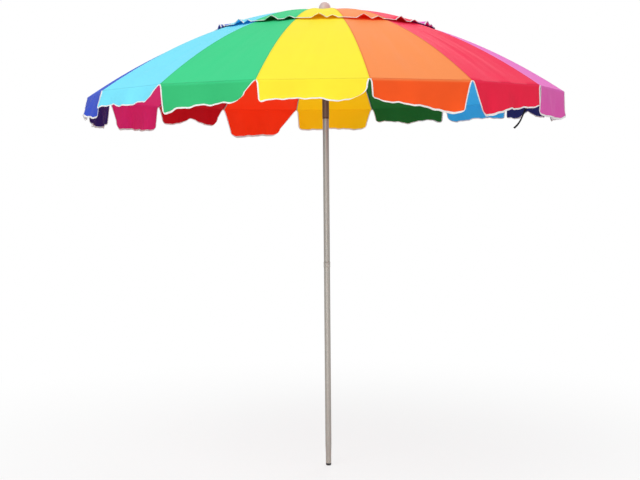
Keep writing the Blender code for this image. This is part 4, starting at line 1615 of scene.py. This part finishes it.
@dataclass
class Studio:
    """White floor and backdrop, soft lamps, and the camera in front of the yellow gore."""

    distance: float = 5.296
    side: float = -0.032
    height: float = 1.413
    yaw: float = math.radians(2.92)
    pitch: float = math.radians(3.55)
    roll: float = math.radians(0.50)
    lens: float = 62.85

    def build_floor(self) -> None:
        """A flat white floor, plain white to the camera with distance."""
        bpy.ops.mesh.primitive_plane_add(size=60, location=(0, 0, -0.0005))
        floor = bpy.context.object
        floor.name = "studio_floor"
        graph = Graph("studio_white")
        graph.set(Base_Color=(0.90, 0.90, 0.90, 1), Roughness=0.9)
        place = graph.node("ShaderNodeVectorMath", {"operation": "LENGTH"}, {0: graph.object_place()})
        path = graph.node("ShaderNodeLightPath")
        seen = Signal(graph, path.outputs["Is Camera Ray"])
        far = graph.ramp(Signal(graph, place.outputs["Value"]), 0.5, 3.2)
        white = graph.node("ShaderNodeEmission", inputs={"Color": (1, 1, 1, 1), "Strength": 1.0})
        mixed = graph.node("ShaderNodeMixShader", inputs={0: seen * (0.72 + far * 0.28)})
        graph.tree.links.new(graph.shader.outputs[0], mixed.inputs[1])
        graph.tree.links.new(white.outputs[0], mixed.inputs[2])
        graph.tree.links.new(mixed.outputs[0], graph.tree.nodes["Material Output"].inputs["Surface"])
        floor.data.materials.append(graph.material)

    def build_world(self) -> None:
        """An even sky that is pure white to the camera and in reflections."""
        world = bpy.data.worlds.new("studio_sky")
        bpy.context.scene.world = world
        world.use_nodes = True
        tree = world.node_tree
        sky = tree.nodes["Background"]
        sky.inputs["Color"].default_value = (1, 1, 1, 1)
        sky.inputs["Strength"].default_value = 0.46
        seen = tree.nodes.new("ShaderNodeBackground")
        seen.inputs["Color"].default_value = (1, 1, 1, 1)
        seen.inputs["Strength"].default_value = 1.0
        path = tree.nodes.new("ShaderNodeLightPath")
        most = tree.nodes.new("ShaderNodeMath")
        most.operation = "MAXIMUM"
        tree.links.new(path.outputs["Is Camera Ray"], most.inputs[0])
        tree.links.new(path.outputs["Is Glossy Ray"], most.inputs[1])
        choice = tree.nodes.new("ShaderNodeMixShader")
        tree.links.new(most.outputs[0], choice.inputs[0])
        tree.links.new(sky.outputs[0], choice.inputs[1])
        tree.links.new(seen.outputs[0], choice.inputs[2])
        tree.links.new(choice.outputs[0], tree.nodes["World Output"].inputs["Surface"])

    def lamp(self, name: str, place: Vector, target: Vector, power: float, size: float) -> None:
        """A square area lamp that faces a point."""
        data = bpy.data.lights.new(name, "AREA")
        data.energy = power
        data.size = size
        obj = bpy.data.objects.new(name, data)
        bpy.context.scene.collection.objects.link(obj)
        obj.location = place
        obj.rotation_euler = (target - place).to_track_quat("-Z", "Y").to_euler()
        obj.visible_camera = False

    def build_camera(self) -> None:
        """The camera, a little below the rim and in front of the pole."""
        data = bpy.data.cameras.new("studio_camera")
        data.lens = self.lens
        data.sensor_width = 36.0
        camera = bpy.data.objects.new("studio_camera", data)
        bpy.context.scene.collection.objects.link(camera)
        turn = Matrix.Rotation(self.yaw, 4, "Z")
        aim = Matrix.Rotation(math.pi / 2 - self.pitch, 4, "X") @ Matrix.Rotation(-self.roll, 4, "Z")
        spot = Matrix.Translation((self.side, -self.distance, self.height))
        camera.matrix_world = turn @ spot @ aim
        bpy.context.scene.camera = camera

    def build(self) -> None:
        """Builds the floor, the sky, the lamps and the camera."""
        self.build_floor()
        self.build_world()
        aim = Vector((0, 0, 1.5))
        self.lamp("key", Vector((-2.2, -3.4, 5.6)), aim, 158, 3.0)
        self.lamp("fill", Vector((4.2, -2.6, 3.4)), aim, 44, 3.0)
        self.lamp("back", Vector((1.5, 4.5, 4.5)), aim, 80, 3.0)
        self.lamp("low", Vector((-0.6, -3.2, 0.3)), Vector((0, 0.7, 1.8)), 26, 2.4)
        self.build_camera()
        bpy.context.scene.view_settings.view_transform = "Standard"


# ---- main -------------------------------------------------------------------------------------


def main() -> None:
    """Builds the umbrella around the frame, piece by piece."""
    logging.basicConfig(level=logging.INFO, format="%(message)s")
    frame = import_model()
    skeleton = Skeleton.read(frame)
    finishes = Finishes()
    Workshop.deselect()
    Studio().build()
    canopy = Canopy(skeleton, finishes)
    builders = (
        canopy,
        VentCap(skeleton, finishes, canopy),
        RibWork(skeleton, finishes, canopy),
        Hubs(skeleton, finishes),
        Poles(skeleton, finishes),
        Strap(skeleton, finishes, canopy),
    )
    for builder in builders:
        builder.build()
        LOG.info("%s done", type(builder).__name__)


if __name__ == "__main__":
    main()
